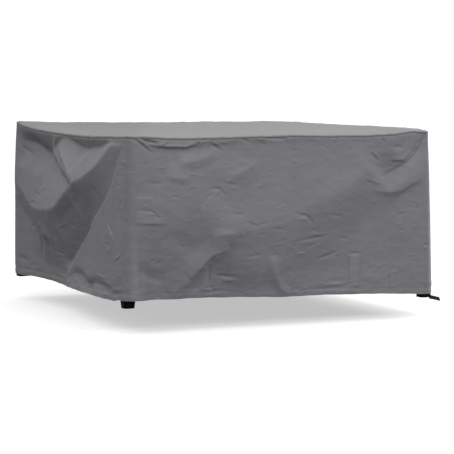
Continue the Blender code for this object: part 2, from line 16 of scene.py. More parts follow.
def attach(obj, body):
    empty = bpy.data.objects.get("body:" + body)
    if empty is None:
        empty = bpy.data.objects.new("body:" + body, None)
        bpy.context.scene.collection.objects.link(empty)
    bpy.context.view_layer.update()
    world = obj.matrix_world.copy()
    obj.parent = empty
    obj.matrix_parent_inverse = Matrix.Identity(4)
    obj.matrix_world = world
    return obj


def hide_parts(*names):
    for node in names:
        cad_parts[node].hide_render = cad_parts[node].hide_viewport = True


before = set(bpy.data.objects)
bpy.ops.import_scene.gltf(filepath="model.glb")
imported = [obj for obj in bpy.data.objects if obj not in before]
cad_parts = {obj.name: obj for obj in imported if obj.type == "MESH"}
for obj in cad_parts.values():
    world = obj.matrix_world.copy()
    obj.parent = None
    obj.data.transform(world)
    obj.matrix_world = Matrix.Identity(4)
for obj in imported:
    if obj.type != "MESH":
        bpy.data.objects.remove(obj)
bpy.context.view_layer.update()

# Driving dimensions
SIDE_LENGTH = 1.516
HALF_SIDE = SIDE_LENGTH / 2
SHEET = 0.002
MIDDLE_UNDERSIDE = 0.858
FLOOR_LEVEL = -MIDDLE_UNDERSIDE
FLOOR_HALF = 40

# Camera, as fitted to the photo's corners
CAMERA_PLACE = (-4.112, -9.034, 1.282 - MIDDLE_UNDERSIDE)
CAMERA_YAW = math.radians(24.81)
CAMERA_PITCH = math.radians(5.14)
CAMERA_LENS = 162.7
CAMERA_SENSOR = 36.0

# Studio light
Softbox = namedtuple("Softbox", "name place target size watts")
SOFTBOXES = (
    Softbox("left softbox", (-3.4, -2.1, 2.4), (-0.5, -0.4, -0.4), (1.8, 1.8), 40),
    Softbox("front softbox", (1.8, -4.9, 2.0), (0.1, -0.7, -0.4), (1.8, 1.2), 82),
    Softbox("right softbox", (3.3, -0.2, 1.0), (0.8, -0.3, -0.4), (1.6, 1.2), 40),
)
ZENITH_LIGHT = 1.36
HORIZON_LIGHT = 0.44
GROUND_LIGHT = 0.02
HORIZON_BLUR = 0.06

# Top panel edge and the seam under it
EDGE_ROLL = 0.008
EDGE_LIP = 0.004
EDGE_DROP = EDGE_ROLL + EDGE_LIP
SEAM_STRIP = 0.003
SEAM_GAP = 0.0003
SEAM_TUCK = 0.0014
SEAM_TUCK_REACH = 0.004

# Hem: height of its strip, its stitched line and how far the turned cloth stands out
HEM_STRIP = 0.045
HEM_DEPTH = 0.026
HEM_PROUD = 0.0006
HEM_STEP = 0.005
STITCH_DEPTH = 0.0004
STITCH_ABOVE = 0.003
STITCH_REACH = 0.004
LEAST_ROW = 0.005

# Mesh spacing, on the wall's length between its corners and on its depth
STRAIGHT_RUN = SIDE_LENGTH - 0.08
CLOTH_DEPTH = 0.72
ARC_COLUMNS = 8
ARC_LIMIT = math.radians(45)
CORNER_BLEND = 0.10
CORNER_EASE = 1.5
DENSE_STEP = 0.001
TOP_STEPS = 151
TOP_CORNER_STEPS = 5
TOP_ROLL_STEPS = 7

# A crease fades over this share of its length at both of its ends
CREASE_FADE = 0.35
BEYOND_CREASES = 9.0

# Short shallow creases left by folding and packing: where they lie and the range of their sizes
SCATTERED_COUNT = 190
SCATTERED_MARGIN = 0.04
SCATTERED_LOWEST = 0.15
SCATTERED_BAND = 0.70
SCATTERED_SINK = 1.25
SCATTERED_TURN = (0.10, 0.40)
SCATTERED_HALF = (0.007, 0.025)
SCATTERED_BEND = (0, 0.35)
SCATTERED_OUT = (0.0009, 0.0025)
SCATTERED_SPREAD = (0.006, 0.010)

# Noise fields: how much each axis counts, how fine they are and an offset that parts them
Field = namedtuple("Field", "axes scale offset")
EVEN = (1, 1, 1)
FOLD_WAVES = Field(EVEN, 7.0, 20.0)
FOLD_RIPPLES = Field(EVEN, 19.0, 50.0)
NEXT_FOLD = 3
NOISE_SHIFT = (1, 0.37, 0.61)
RIM_WAVES = Field(EVEN, 9.0, 5.5)
RIM_RIPPLES = Field(EVEN, 26.0, 6.5)
HEM_WAVES = Field(EVEN, 16.0, 8.1)
HANG_WAVES = Field((1, 0.8, 1.3), 6.0, 3.1)
HANG_RIPPLES = Field((0.7, 0.4, 1.15), 26.0, 7.7)
HANG_CRUMPLES = Field((0.7, 0.4, 1.2), 19.0, 5.3)
PUCKERS = Field((1, 1, 0.12), 55.0, 1.3)
DRAWN_CLOTH = Field((0.35, 0.35, 1.6), 34.0, 2.9)
PUCKER_PLACES = Field((1, 1, 0.2), 5.0, 4.1)
TOP_WAVES = Field(EVEN, 5.0, 2.7)
TOP_RIPPLES = Field(EVEN, 22.0, 9.3)

# How far folds, rim and hem stray from their tables, and a fold's out as a share of its height
FOLD_WAVER = 0.0060
FOLD_RIPPLE_SHARE = 0.5
FOLD_OUT_SHARE = 0.25
RIM_WAVER = 0.0022
RIM_RIPPLE_SHARE = 0.8
HEM_WAVER = 0.0020

# How far the hung cloth strays from its folds, from a little way below the rim
HANG_WAVE = 0.0024
HANG_RIPPLE = 0.0005
HANG_CRUMPLE = 0.0011
HANG_START = 0.03
TOP_WAVE = 0.0030
TOP_RIPPLE = 0.0008
TOP_RIM_POWER = 12

# Puckers that the stitching draws into hem and rim, stronger in some places than in others
PUCKER_MEAN = 0.6
PUCKER_SWING = 1.4
PUCKER_LIMITS = (0.1, 1.5)
HEM_PULL = 0.0032
HEM_PULL_HEIGHT = 0.035
HEM_PUCKER = 0.0012
RIM_PUCKER = 0.0030
PUCKER_REACH = 0.018
RIM_PUCKER_START = 0.004

# Painted light, which makes a place paler as a painted highlight, or darker in a hollow as painted
# shade: full at this height over the cloth around it, on the top's roll, and along the front right
# seam's lower part, where the painted highlight is palest
PAINTED_LIGHT_PASSES = 6
PAINTED_LIGHT_HEIGHT = 0.0012
ROLL_HIGHLIGHT = 0.9
ROLL_HIGHLIGHT_MIDDLE = 0.45
ROLL_HIGHLIGHT_REACH = 0.5
SEAM_HIGHLIGHT = 5.5
SEAM_HIGHLIGHT_TURN = 0.45
SEAM_HIGHLIGHT_EASE = 0.25
SEAM_HIGHLIGHT_TOP = 0.60
SEAM_HIGHLIGHT_FADE = 0.10

# Painted shade: left of a fold that runs in from the front left corner the top panel is painted
# darker
TOP_FOLD_TURN = math.radians(25)
TOP_FOLD_SHADE = 0.9
TOP_FOLD_REACH = 0.08

# Weave and crumples in the cloth's surface, as bump and shade, and the tone of a full painted
# highlight
WEAVE_PITCH = 0.003
WEAVE_SHADE = (0.985, 1.015)
WEAVE_RISE = 0.0002
PALEST = 1.05
CRUMPLE_AXES = (0.7, 0.7, 1.4)
DENT_NOISE = (24.0, 2.0)
WRINKLE_NOISE = (13.0, 1.0)
WRINKLE_PLACE_NOISE = (8.0, 1.0)
DENT_DEPTH = 0.0012
WRINKLE_RISE = 0.0005
WRINKLE_REACH = 0.022
WRINKLE_PLACES = (0.50, 0.60)

# Corner straps
WEBBING_WIDTH = 0.030
WEBBING_SHEET = 0.0016
LOOP_HALF = 0.029
LOOP_POINTS = 64
LOOP_REACH = 0.0341
ROUND_TRIP = 7.6 * LOOP_HALF
TAB_RISE = 0.034
TAB_BEND = 0.004
TAB_HALF = 0.0065
TAB_STEPS = 3

Corner = namedtuple("Corner", "toward top_radius hem_radius out_mid out_hem")
CORNERS = {
    "front_left": Corner((-1, -1), 0.030, 0.060, 0.012, 0.030),
    "front_right": Corner((1, -1), 0.030, 0.035, 0.014, 0.024),
    "back_left": Corner((-1, 1), 0.030, 0.035, 0.012, 0.013),
    "back_right": Corner((1, 1), 0.030, 0.040, 0.010, 0.018),
}

# along is measured from the start corner, outward is away from the cover's inside
Side = namedtuple("Side", "start end along outward spacing softness seed")
SIDES = {
    "front_wall": Side("front_left", "front_right", (1, 0), (0, -1), 0.0050, 0.80, 3),
    "right_wall": Side("front_right", "back_right", (0, 1), (1, 0), 0.0075, 0.70, 5),
    "back_wall": Side("back_left", "back_right", (1, 0), (0, 1), 0.0075, 0.70, 7),
    "left_wall": Side("front_left", "back_left", (0, 1), (-1, 0), 0.0050, 0.25, 11),
}


def metres(values):
    """Millimetres, or a nest of them, as metres."""
    return tuple(map(metres, values)) if isinstance(values, tuple) else values / 1000


def table(kind, rows):
    """Rows in millimetres as named rows in metres."""
    return [kind(*metres(row)) for row in rows]


def crease_table(rows):
    """Rows of path, out and spread in millimetres, lean and crisp as they are, as creases."""
    return [Crease(*metres(row[:3]), *row[3:]) for row in rows]


# Height of the rolled edge and of the hem along each wall, in millimetres
Edge = namedtuple("Edge", "along rim hem")
EDGES = {
    "front_wall": table(Edge, (
        (30, 876, 152),
        (100, 873, 153),
        (200, 867, 150),
        (350, 865, 149),
        (500, 866, 143),
        (750, 869, 133),
        (950, 865, 131),
        (1150, 863, 126),
        (1320, 865, 119),
        (1420, 877, 113),
        (1486, 873, 112),
    )),
    "left_wall": table(Edge, (
        (30, 876, 152),
        (100, 873, 144),
        (250, 868, 140),
        (400, 862, 139),
        (550, 858, 136),
        (750, 857, 133),
        (950, 858, 129),
        (1100, 860, 131),
        (1250, 865, 133),
        (1380, 874, 126),
        (1486, 888, 124),
    )),
    "back_wall": table(Edge, (
        (30, 888, 124),
        (120, 885, 127),
        (280, 880, 133),
        (450, 877, 136),
        (620, 874, 131),
        (780, 872, 128),
        (950, 871, 133),
        (1120, 870, 136),
        (1280, 868, 130),
        (1400, 868, 124),
        (1486, 864, 122),
    )),
    "right_wall": table(Edge, (
        (30, 873, 112),
        (100, 879, 117),
        (250, 878, 123),
        (400, 877, 129),
        (580, 875, 131),
        (750, 872, 127),
        (920, 870, 130),
        (1100, 868, 134),
        (1250, 867, 129),
        (1380, 867, 124),
        (1486, 864, 122),
    )),
}

# How a wall falls at a place along it, in millimetres: the height of six folds, and how far
# each of them and the hem stand out
FOLD_NAMES = ("tuck", "shelf", "step", "crest", "hollow", "lip")
Fall = namedtuple(
    "Fall",
    "along tuck tuck_out shelf shelf_out step step_out crest crest_out"
    " hollow hollow_out lip lip_out hem_out",
)
FALLS = {
    "left_wall": table(Fall, (
        (0, 843, 0, 836, 0, 829, 0, 819, 1, 795, 2, 775, 4, 24),
        (60, 846, 0, 842, 0, 838, 0, 852, 1, 822, 0, 800, 3, 26),
        (130, 845, 0, 839, 1, 836, 3, 845, 6, 762, -1, 742, 3, 29),
        (200, 842, 1, 836, 3, 829, 8, 818, 14, 656, 0, 636, 5, 31),
        (280, 828, -7, 814, 3, 792, 15, 756, 28, 583, 2, 564, 8, 32),
        (360, 810, -12, 790, 3, 758, 21, 708, 40, 530, -2, 511, 5, 30),
        (440, 804, -15, 776, 3, 736, 25, 677, 50, 492, -8, 472, -1, 27),
        (520, 796, -17, 760, 11, 712, 36, 650, 60, 424, -15, 402, -7, 22),
        (610, 806, -14, 678, 50, 645, 60, 613, 64, 362, -22, 338, -12, 14),
        (700, 828, -8, 690, 47, 652, 42, 568, 62, 304, -27, 272, -14, 6),
        (790, 840, -3, 716, 34, 668, 23, 515, 58, 250, -27, 215, -16, -6),
        (880, 818, -10, 742, 13, 692, 2, 496, 54, 270, -14, 200, -24, -20),
        (970, 778, -24, 752, -14, 706, -20, 488, 50, 280, -10, 204, -28, -28),
        (1060, 744, -34, 732, -32, 712, -26, 482, 44, 280, -10, 205, -28, -28),
        (1150, 758, -34, 726, -24, 637, 8, 484, 38, 310, -6, 215, -22, -22),
        (1250, 786, -28, 726, -18, 645, 10, 514, 32, 380, -4, 240, -11, -10),
        (1350, 796, -21, 724, -14, 660, 7, 553, 25, 430, -5, 250, -5, 0),
        (1440, 803, -11, 722, -4, 668, 11, 582, 19, 470, 1, 250, 6, 8),
        (1516, 807, 1, 722, 7, 668, 10, 590, 14, 470, 10, 250, 12, 12),
    )),
    "front_wall": table(Fall, (
        (0, 825, 1, 740, 4, 640, 8, 500, 14, 330, 13, 270, 10, 14),
        (120, 830, -2, 745, 5, 645, 11, 505, 19, 340, 10, 260, 1, -8),
        (300, 812, -6, 740, 8, 650, 14, 520, 22, 340, 6, 260, -1, -8),
        (420, 825, -4, 730, 6, 610, 12, 440, 24, 330, 10, 260, -1, -9),
        (580, 830, -2, 720, 4, 600, 11, 440, 23, 320, 11, 250, 1, -8),
        (750, 830, -1, 720, 3, 600, 10, 470, 20, 300, 10, 240, 3, -2),
        (900, 830, -1, 740, 4, 640, 11, 540, 20, 340, 6, 240, -2, -4),
        (1050, 830, -1, 760, 4, 680, 11, 600, 18, 360, 0, 250, -4, -2),
        (1180, 830, -1, 790, 3, 735, 8, 690, 13, 450, -3, 300, -4, 0),
        (1300, 830, 0, 790, 0, 700, -9, 605, 5, 520, -3, 400, -4, 2),
        (1400, 825, -1, 790, -1, 742, 3, 655, 12, 600, 6, 450, 5, 9),
        (1516, 830, 1, 780, 3, 740, 6, 690, 9, 620, 10, 450, 12, 18),
    )),
    "back_wall": table(Fall, (
        (0, 830, 1, 760, 3, 680, 5, 560, 9, 320, 11, 260, 12, 12),
        (150, 828, -3, 755, 0, 670, 6, 540, 14, 310, 4, 250, 6, 12),
        (350, 826, -6, 740, 0, 650, 8, 500, 18, 300, -2, 240, 2, 14),
        (550, 830, -4, 745, -4, 640, 2, 470, 12, 300, 2, 240, 3, 6),
        (780, 832, -2, 750, -8, 640, -3, 450, 10, 290, 6, 230, 8, 12),
        (1000, 828, -5, 745, -2, 660, 6, 500, 16, 310, 2, 250, 3, 8),
        (1200, 826, -5, 740, 2, 670, 12, 560, 22, 320, -4, 260, 2, 14),
        (1360, 828, -2, 750, 1, 690, 6, 600, 13, 330, 4, 270, 8, 16),
        (1516, 828, 1, 760, 2, 690, 4, 600, 7, 330, 12, 260, 14, 18),
    )),
    "right_wall": table(Fall, (
        (0, 830, 2, 760, 4, 680, 7, 580, 10, 400, 18, 300, 22, 27),
        (120, 832, -1, 765, 1, 690, 4, 590, 8, 400, 13, 300, 17, 22),
        (300, 815, -8, 745, 3, 680, 14, 600, 26, 360, -8, 300, 0, 20),
        (480, 800, -12, 725, 4, 650, 20, 550, 36, 300, -10, 250, -2, 18),
        (680, 810, -10, 715, 4, 620, 18, 490, 34, 260, 0, 210, 3, 10),
        (880, 795, -14, 720, -6, 630, 10, 470, 28, 250, 4, 200, 5, 8),
        (1080, 790, -16, 715, -6, 640, 8, 500, 26, 270, 0, 220, 4, 12),
        (1280, 815, -8, 740, 0, 670, 10, 560, 20, 310, 4, 250, 7, 16),
        (1400, 826, -2, 755, 1, 690, 6, 600, 12, 330, 8, 260, 11, 17),
        (1516, 828, 1, 760, 2, 690, 4, 600, 7, 330, 12, 260, 14, 18),
    )),
}

# Creases placed one by one: a path of (along, height) points, how far it stands out or in, and
# the width it fades over, all in millimetres, then lean and crisp. The side to the left of
# its course is narrowed by lean, the other one by a negative lean. A crisp of 1 is a sharp
# line, of 0 a soft swell.
Crease = namedtuple("Crease", "path out spread lean crisp", defaults=(0, 1))
CREASES = {
    "front_wall": crease_table((
        # upper left corner and the pouch under the rolled edge
        (((20, 868), (60, 842), (112, 800)), -6, 12),
        (((34, 868), (72, 842), (118, 806)), 4.5, 10),
        (((52, 864), (90, 852), (140, 842)), -6.5, 12),
        (((64, 868), (104, 860), (142, 852)), 4, 10),
        (((145, 830), (172, 846), (196, 858)), 4, 10),
        (((90, 838), (180, 827), (270, 823), (360, 848)), 9.5, 34, -0.62),
        (((305, 846), (335, 838), (372, 862)), -4.5, 12),
        (((330, 826), (362, 852)), 3.6, 11),
        (((376, 862), (402, 850)), 5, 11),
        (((390, 834), (420, 822), (450, 802)), -5, 11),
        (((400, 842), (436, 828)), 4.2, 10),
        (((440, 842), (476, 838)), 3.4, 10),
        (((535, 862), (565, 846), (590, 842)), -4, 12),
        (((600, 856), (660, 850)), 3, 12),
        (((230, 752), (300, 762), (360, 775), (420, 800)), 8, 80, -0.45, 0.4),
        (((170, 700), (240, 685), (290, 690)), 4.5, 65, -0.5, 0.5),
        # dark facet and its lines in the upper middle
        (((460, 665), (505, 695), (585, 730), (630, 710)), 5, 75, 0.5, 0.6),
        (((385, 636), (430, 637), (465, 600)), -3.8, 12),
        (((475, 655), (520, 648)), -3, 12),
        (((350, 570), (450, 480), (570, 440)), 5, 90, 0, 0),
        (((385, 418), (430, 428), (520, 432)), 5.5, 80, 0.5, 0.6),
        # folded marks near the left corner
        (((20, 600), (110, 602)), 2.5, 50, 0.6),
        (((30, 497), (100, 492), (180, 486)), 3.4, 45, -0.7),
        (((40, 552), (100, 546), (152, 508)), -3.5, 11),
        (((80, 535), (125, 530), (150, 512)), 2.2, 8),
        (((190, 605), (250, 608)), -2.7, 10),
        (((90, 670), (155, 664)), -2.4, 10),
        (((325, 552), (335, 480)), -2.4, 14),
        (((170, 450), (300, 370), (340, 360)), -3.5, 60, 0, 0.3),
        # long fold at the lower left, and the marks pushed into the cloth from inside
        (((475, 372), (430, 350), (380, 326), (340, 290), (290, 240)), 10.5, 85, 0.5, 0.7),
        (((390, 320), (330, 270), (270, 222), (200, 165)), 6.5, 100, 0.4, 0.3),
        (((445, 350), (400, 330), (355, 292)), -3, 16, 0, 0.7),
        (((480, 262), (600, 250), (760, 255)), 6, 130, -0.45, 0.2),
        (((30, 300), (100, 255), (170, 235)), -5, 55, -0.4, 0.5),
        (((384, 300), (392, 200), (425, 168)), -4.9, 13),
        (((366, 290), (370, 150)), 4, 30, 0, 0.5),
        (((420, 248), (515, 236)), -4.6, 13),
        (((445, 225), (525, 218)), 2.7, 13),
        (((400, 140), (620, 140)), -9, 170, 0, 0),
        (((695, 320), (712, 225), (745, 170), (790, 140)), 7, 40, 0, 0.6),
        (((1088, 300), (1090, 170)), -4.6, 10),
        (((1092, 316), (1145, 317)), -3.2, 11),
        (((1118, 310), (1118, 110)), 4.5, 38, 0, 0),
        (((1150, 205), (1290, 200)), 2.2, 45, -0.3, 0.3),
        (((1303, 215), (1303, 120)), -3.5, 11),
        # middle of the wall
        (((552, 482), (598, 469), (615, 457)), -3.2, 9),
        (((612, 460), (665, 482)), -2.7, 9),
        (((690, 450), (755, 440)), -2.7, 9),
        (((490, 523), (550, 515)), -3, 9),
        (((800, 515), (862, 500), (900, 460)), -4.6, 13),
        (((815, 487), (870, 483)), 2.7, 11),
        (((800, 382), (880, 394), (960, 403)), -3.4, 10),
        (((885, 412), (955, 412)), 2.2, 8),
        (((868, 355), (910, 370)), -2.6, 10),
        (((915, 298), (980, 313), (1050, 338)), -3.2, 12),
        (((815, 325), (865, 331)), 2.4, 9),
        (((565, 325), (630, 332)), -3, 12),
        (((990, 500), (1060, 488)), -2.4, 10),
        (((1030, 395), (1090, 385)), -2.7, 11),
        (((660, 855), (760, 850), (772, 830)), -4.6, 11),
        # upper right corner
        (
            ((1260, 670), (1310, 686), (1370, 716), (1420, 756), (1458, 805), (1490, 870)),
            -7.5, 78, 0.7,
        ),
        (((1210, 605), (1300, 592), (1360, 600), (1410, 630), (1480, 660)), 5, 60, -0.55),
        (((1300, 732), (1370, 731), (1414, 771), (1440, 814), (1490, 845)), -4.1, 10),
        (((1315, 742), (1390, 737)), 4.6, 48, -0.75),
        (((1320, 800), (1380, 800)), -3.6, 42, -0.55),
        (((1210, 784), (1248, 748)), 3.5, 9),
        (((1198, 776), (1238, 742)), -4.1, 10),
        (((1255, 845), (1280, 818)), -4.9, 13),
        (((1170, 652), (1205, 634)), -3.8, 11),
        (((1200, 656), (1245, 630)), 3.2, 10),
        (((1340, 486), (1390, 493)), -3, 9),
        (((1360, 480), (1360, 390)), 1.6, 30, 0.6),
        (((1478, 346), (1512, 322)), -5.4, 10),
        (((1474, 336), (1510, 310)), 3.5, 9),
    )),
    "left_wall": crease_table((
        # dark facet beside the light one, up to the crest of the long fold
        (((880, 792), (790, 768), (668, 716), (600, 674), (530, 636)), 12.5, 110, 0.55, 0.85),
        (
            ((1100, 742), (1030, 732), (900, 684), (750, 656), (630, 640), (550, 630)),
            -15, 95, -0.5, 0.85,
        ),
        (((1040, 730), (970, 780), (900, 845)), 15, 120, -0.52, 0.8),
        # deeper cloth in the wedge under the rolled edge
        (((1010, 765), (1070, 750), (1150, 760), (1250, 786), (1420, 800)), -12, 120, 0.45, 0.7),
        # darkest place under the crest of the long fold
        (((480, 595), (610, 535), (700, 490), (790, 440), (920, 425)), -9.5, 120, 0.38, 0.2),
        (((1100, 390), (1125, 345), (1160, 285), (1183, 235)), -4.5, 50, 0.6, 0.8),
        (((1130, 366), (1030, 356), (950, 334)), 7, 75, 0.4, 0.7),
        (((1050, 360), (1040, 280), (1050, 210)), -4, 60, 0, 0.3),
        (((620, 560), (560, 480), (520, 430)), 4, 50, 0, 0.3),
        (((860, 450), (800, 360), (780, 270)), 4.5, 60, 0.3, 0.3),
        (((950, 420), (920, 340)), -3.5, 45, 0, 0.5),
        (((770, 230), (770, 120)), 6, 50, 0, 0.5),
        (((1170, 560), (1050, 542)), -3.5, 11),
        (((1100, 575), (1000, 596)), 2.7, 11),
        (((1220, 500), (1120, 507)), -3.2, 11),
        (((840, 408), (780, 422), (720, 448)), 2.6, 10),
        (((825, 400), (745, 428)), -1.8, 9),
        (((710, 434), (650, 432)), -3.5, 10),
        (((720, 580), (660, 600), (620, 560)), 3, 16),
        (((400, 640), (345, 600), (330, 550)), -3, 22, 0, 0.7),
        (((1300, 382), (1220, 380)), -3.5, 10),
        (((980, 290), (900, 282), (840, 286)), -2.8, 10),
        (((940, 272), (900, 276), (860, 268)), 2, 9),
        (((1440, 765), (1360, 745), (1300, 730)), -5.5, 30, 0.3),
        # marks on the flap between the long fold and the front left corner
        (((225, 478), (185, 445), (115, 400)), 4.3, 10),
        (((210, 490), (155, 432)), -3.8, 9),
        (((165, 462), (145, 410)), -3, 8),
        (((130, 308), (60, 338), (30, 372)), -2.4, 10),
        (((120, 322), (55, 350)), 2.7, 9),
        (((250, 388), (160, 383)), -3, 9),
        (((235, 364), (165, 358)), 3, 9),
        (((80, 255), (20, 275)), 3, 10),
        (((70, 218), (15, 236)), -3.2, 10),
        (((140, 655), (80, 652)), -2.7, 10),
        (((80, 765), (30, 758)), 3.2, 11),
        # drawn places over the hem
        (((400, 172), (520, 196), (600, 212), (700, 206), (800, 176)), -12.5, 78, 0.5, 0.5),
        (((140, 176), (260, 196), (360, 200), (480, 178)), -10.5, 74, 0.5, 0.5),
        (((360, 160), (440, 168), (520, 160)), -5, 50, -0.35, 0.5),
        (((350, 238), (200, 236)), 3, 12),
        (((560, 240), (600, 225), (640, 238)), 3, 12),
        (((1460, 215), (1340, 205)), -3.5, 25, 0, 0.5),
    )),
    "back_wall": crease_table((
        (((400, 320), (400, 100)), 8, 90, 0, 0),
        (((1140, 330), (1100, 110)), 8, 90, 0, 0),
        (((200, 740), (420, 620), (600, 580)), 4.5, 60, 0.5, 0.6),
        (((920, 700), (1100, 580), (1220, 440)), 4.5, 60, -0.5, 0.6),
        (((620, 400), (740, 370), (800, 330)), -3.8, 13),
        (((300, 460), (400, 480)), -3.5, 12),
    )),
    "right_wall": crease_table((
        (((400, 300), (440, 100)), 8, 90, 0, 0),
        (((1120, 320), (1080, 100)), 9, 90, 0, 0),
        (((160, 780), (300, 700), (460, 660)), 5, 60, 0.5, 0.6),
        (((800, 660), (960, 540), (1080, 420)), 4.5, 60, -0.5, 0.6),
        (((500, 360), (620, 380), (700, 350)), -3.8, 13),
        (((1200, 500), (1320, 530)), -3.5, 12),
    )),
}

# Low swells of the top panel, pushed up from inside
Swell = namedtuple("Swell", "x y rise spread")
SWELLS = (
    Swell(-0.38, -0.56, 0.006, 0.26),
    Swell(0.36, -0.58, 0.005, 0.26),
    Swell(-0.60, 0.10, 0.005, 0.24),
    Swell(0.58, 0.20, 0.006, 0.26),
    Swell(-0.10, 0.58, 0.006, 0.28),
)

# Faint fold lines of the top panel, as paths of plan (x, y) points
TOP_CREASES = crease_table((
    (((-740, -720), (-420, -40), (-100, 660)), -3, 50, 0, 0.6),
    (((-300, -700), (-240, -580), (-120, -500)), 2, 20),
    (((190, 440), (20, 40), (-170, -400)), 2.2, 22),
    (((-520, -300), (-300, 20), (-160, 420)), -2, 30, 0, 0.5),
    (((300, -520), (460, -200), (550, 50)), 1.8, 24),
    (((-600, 400), (-200, 520), (200, 600)), 1.8, 26),
))

# How far each loop hangs below the hem, how much its foot is drawn in, and its shift sideways
Strap = namedtuple("Strap", "corner below_hem foot_scale shift")
STRAPS = {
    "front_left_strap": Strap("front_left", 0.036, 0.88, (-0.0064, 0.0325)),
    "front_right_strap": Strap("front_right", 0.019, 1.0, (0, 0)),
    "back_left_strap": Strap("back_left", 0.013, 1.0, (0, 0)),
    "back_right_strap": Strap("back_right", 0.014, 1.0, (0, 0)),
}

# Centre line of the free end of the front right strap, from the loop outward, with its tilt
# in degrees, and the points across the webbing as shares of half its width
Tail = namedtuple("Tail", "x y height tilt")
FREE_END = (
    Tail(-0.0015, -0.004, 0.0925, 62),
    Tail(0.012, -0.006, 0.0900, 60),
    Tail(0.026, -0.009, 0.0865, 58),
    Tail(0.040, -0.013, 0.0828, 58),
    Tail(0.050, -0.017, 0.0802, 60),
)
FREE_END_WIDTH = 0.020
FREE_END_STEPS = 17
FREE_END_ACROSS = (1, 0.5, 0, -0.5, -1)


# ---------------------------------------------------------------- camera, light and floor


def place_camera():
    camera_data = bpy.data.cameras.new("camera")
    camera = bpy.data.objects.new("camera", camera_data)
    bpy.context.scene.collection.objects.link(camera)
    bpy.context.scene.camera = camera
    camera_data.sensor_width = CAMERA_SENSOR
    camera_data.lens = CAMERA_LENS
    level = math.cos(CAMERA_PITCH)
    ahead = (math.sin(CAMERA_YAW) * level, math.cos(CAMERA_YAW) * level, -math.sin(CAMERA_PITCH))
    camera.location = CAMERA_PLACE
    camera.rotation_euler = Vector(ahead).to_track_quat("-Z", "Y").to_euler()


def place_softbox(softbox):
    light = bpy.data.lights.new(softbox.name, "AREA")
    light.shape = "RECTANGLE"
    light.size, light.size_y = softbox.size
    light.energy = softbox.watts
    box = bpy.data.objects.new(softbox.name, light)
    bpy.context.scene.collection.objects.link(box)
    box.location = softbox.place
    aim = Vector(softbox.target) - Vector(softbox.place)
    box.rotation_euler = aim.to_track_quat("-Z", "Y").to_euler()


def place_studio():
    """Three softboxes, and a sky of diffused light, strongest overhead, over a dark ground."""
    for softbox in SOFTBOXES:
        place_softbox(softbox)
    world = bpy.data.worlds.new("studio")
    bpy.context.scene.world = world
    world.use_nodes = True
    tree = world.node_tree
    tree.nodes.clear()
    direction = add_node(tree, "ShaderNodeTexCoord")
    split = add_node(tree, "ShaderNodeSeparateXYZ", {0: direction.outputs["Generated"]})
    rise = split.outputs["Z"]
    edge = ranged(tree, rise, (-HORIZON_BLUR, HORIZON_BLUR), (GROUND_LIGHT, HORIZON_LIGHT))
    above = calculated(tree, "MAXIMUM", rise, 0.0)
    level = calculated(tree, "MULTIPLY_ADD", above, ZENITH_LIGHT - HORIZON_LIGHT, edge)
    sky, plain = (
        add_node(tree, "ShaderNodeBackground", {"Color": (1, 1, 1, 1), "Strength": strength})
        for strength in (level, 1.0)
    )
    ray = add_node(tree, "ShaderNodeLightPath").outputs["Is Camera Ray"]
    mix = add_node(tree, "ShaderNodeMixShader", {0: ray, 1: sky.outputs[0], 2: plain.outputs[0]})
    add_node(tree, "ShaderNodeOutputWorld", {"Surface": mix.outputs[0]})
    bpy.context.scene.view_settings.view_transform = "Standard"


def place_floor(material):
    mesh = bmesh.new()
    bmesh.ops.create_grid(mesh, x_segments=1, y_segments=1, size=FLOOR_HALF)
    bmesh.ops.translate(mesh, verts=mesh.verts, vec=(0, 0, FLOOR_LEVEL))
    floor = add_piece("studio_floor", mesh, material)
    floor.visible_diffuse = False
    floor.visible_glossy = False


# ---------------------------------------------------------------- materials


def from_hex(code):
    """sRGB hex colour as linear RGBA."""
    shares = [int(code[start:start + 2], 16) / 255 for start in (0, 2, 4)]
    linear = [
        share / 12.92 if share <= 0.04045 else ((share + 0.055) / 1.055) ** 2.4 for share in shares
    ]
    return (*linear, 1.0)


def add_node(tree, kind, inputs=None, **settings):
    """A node with its settings, its socket values and its links."""
    node = tree.nodes.new(kind)
    for name, value in settings.items():
        setattr(node, name, value)
    for name, value in (inputs or {}).items():
        if isinstance(value, bpy.types.NodeSocket):
            tree.links.new(value, node.inputs[name])
        else:
            node.inputs[name].default_value = value
    return node


def calculated(tree, operation, *values):
    """Output of a math node on its values."""
    node = add_node(tree, "ShaderNodeMath", dict(enumerate(values)), operation=operation)
    return node.outputs[0]


def ranged(tree, value, before, after, **settings):
    """Output of a map range node, from one pair of ends to another."""
    ends = dict(zip(("From Min", "From Max", "To Min", "To Max"), (*before, *after)))
    node = add_node(tree, "ShaderNodeMapRange", {"Value": value, **ends}, **settings)
    return node.outputs["Result"]


def toned(tree, share, dark, light):
    """Output of a mix of two sRGB hex colours."""
    ends = {"Factor": share, 6: from_hex(dark), 7: from_hex(light)}
    return add_node(tree, "ShaderNodeMix", ends, data_type="RGBA").outputs[2]


def bumped(tree, inputs):
    """Normal from a bump node."""
    return add_node(tree, "ShaderNodeBump", inputs).outputs["Normal"]


def new_material(name):
    material = bpy.data.materials.new(name)
    material.use_nodes = True
    material.node_tree.nodes.clear()
    return material, material.node_tree


def show_surface(tree, inputs):
    """Puts a principled surface on the material's output."""
    shader = add_node(tree, "ShaderNodeBsdfPrincipled", inputs)
    add_node(tree, "ShaderNodeOutputMaterial", {"Surface": shader.outputs[0]})


def weave_height(tree, uv, pitch):
    """Plain weave: threads of two directions, one over the other, pitch apart."""
    split = add_node(tree, "ShaderNodeSeparateXYZ", {0: uv.outputs["UV"]})
    waves = []
    for axis in ("X", "Y"):
        turns = calculated(tree, "MULTIPLY", split.outputs[axis], math.tau / pitch)
        waves.append(calculated(tree, "SINE", turns))
    return calculated(tree, "MULTIPLY", *waves)


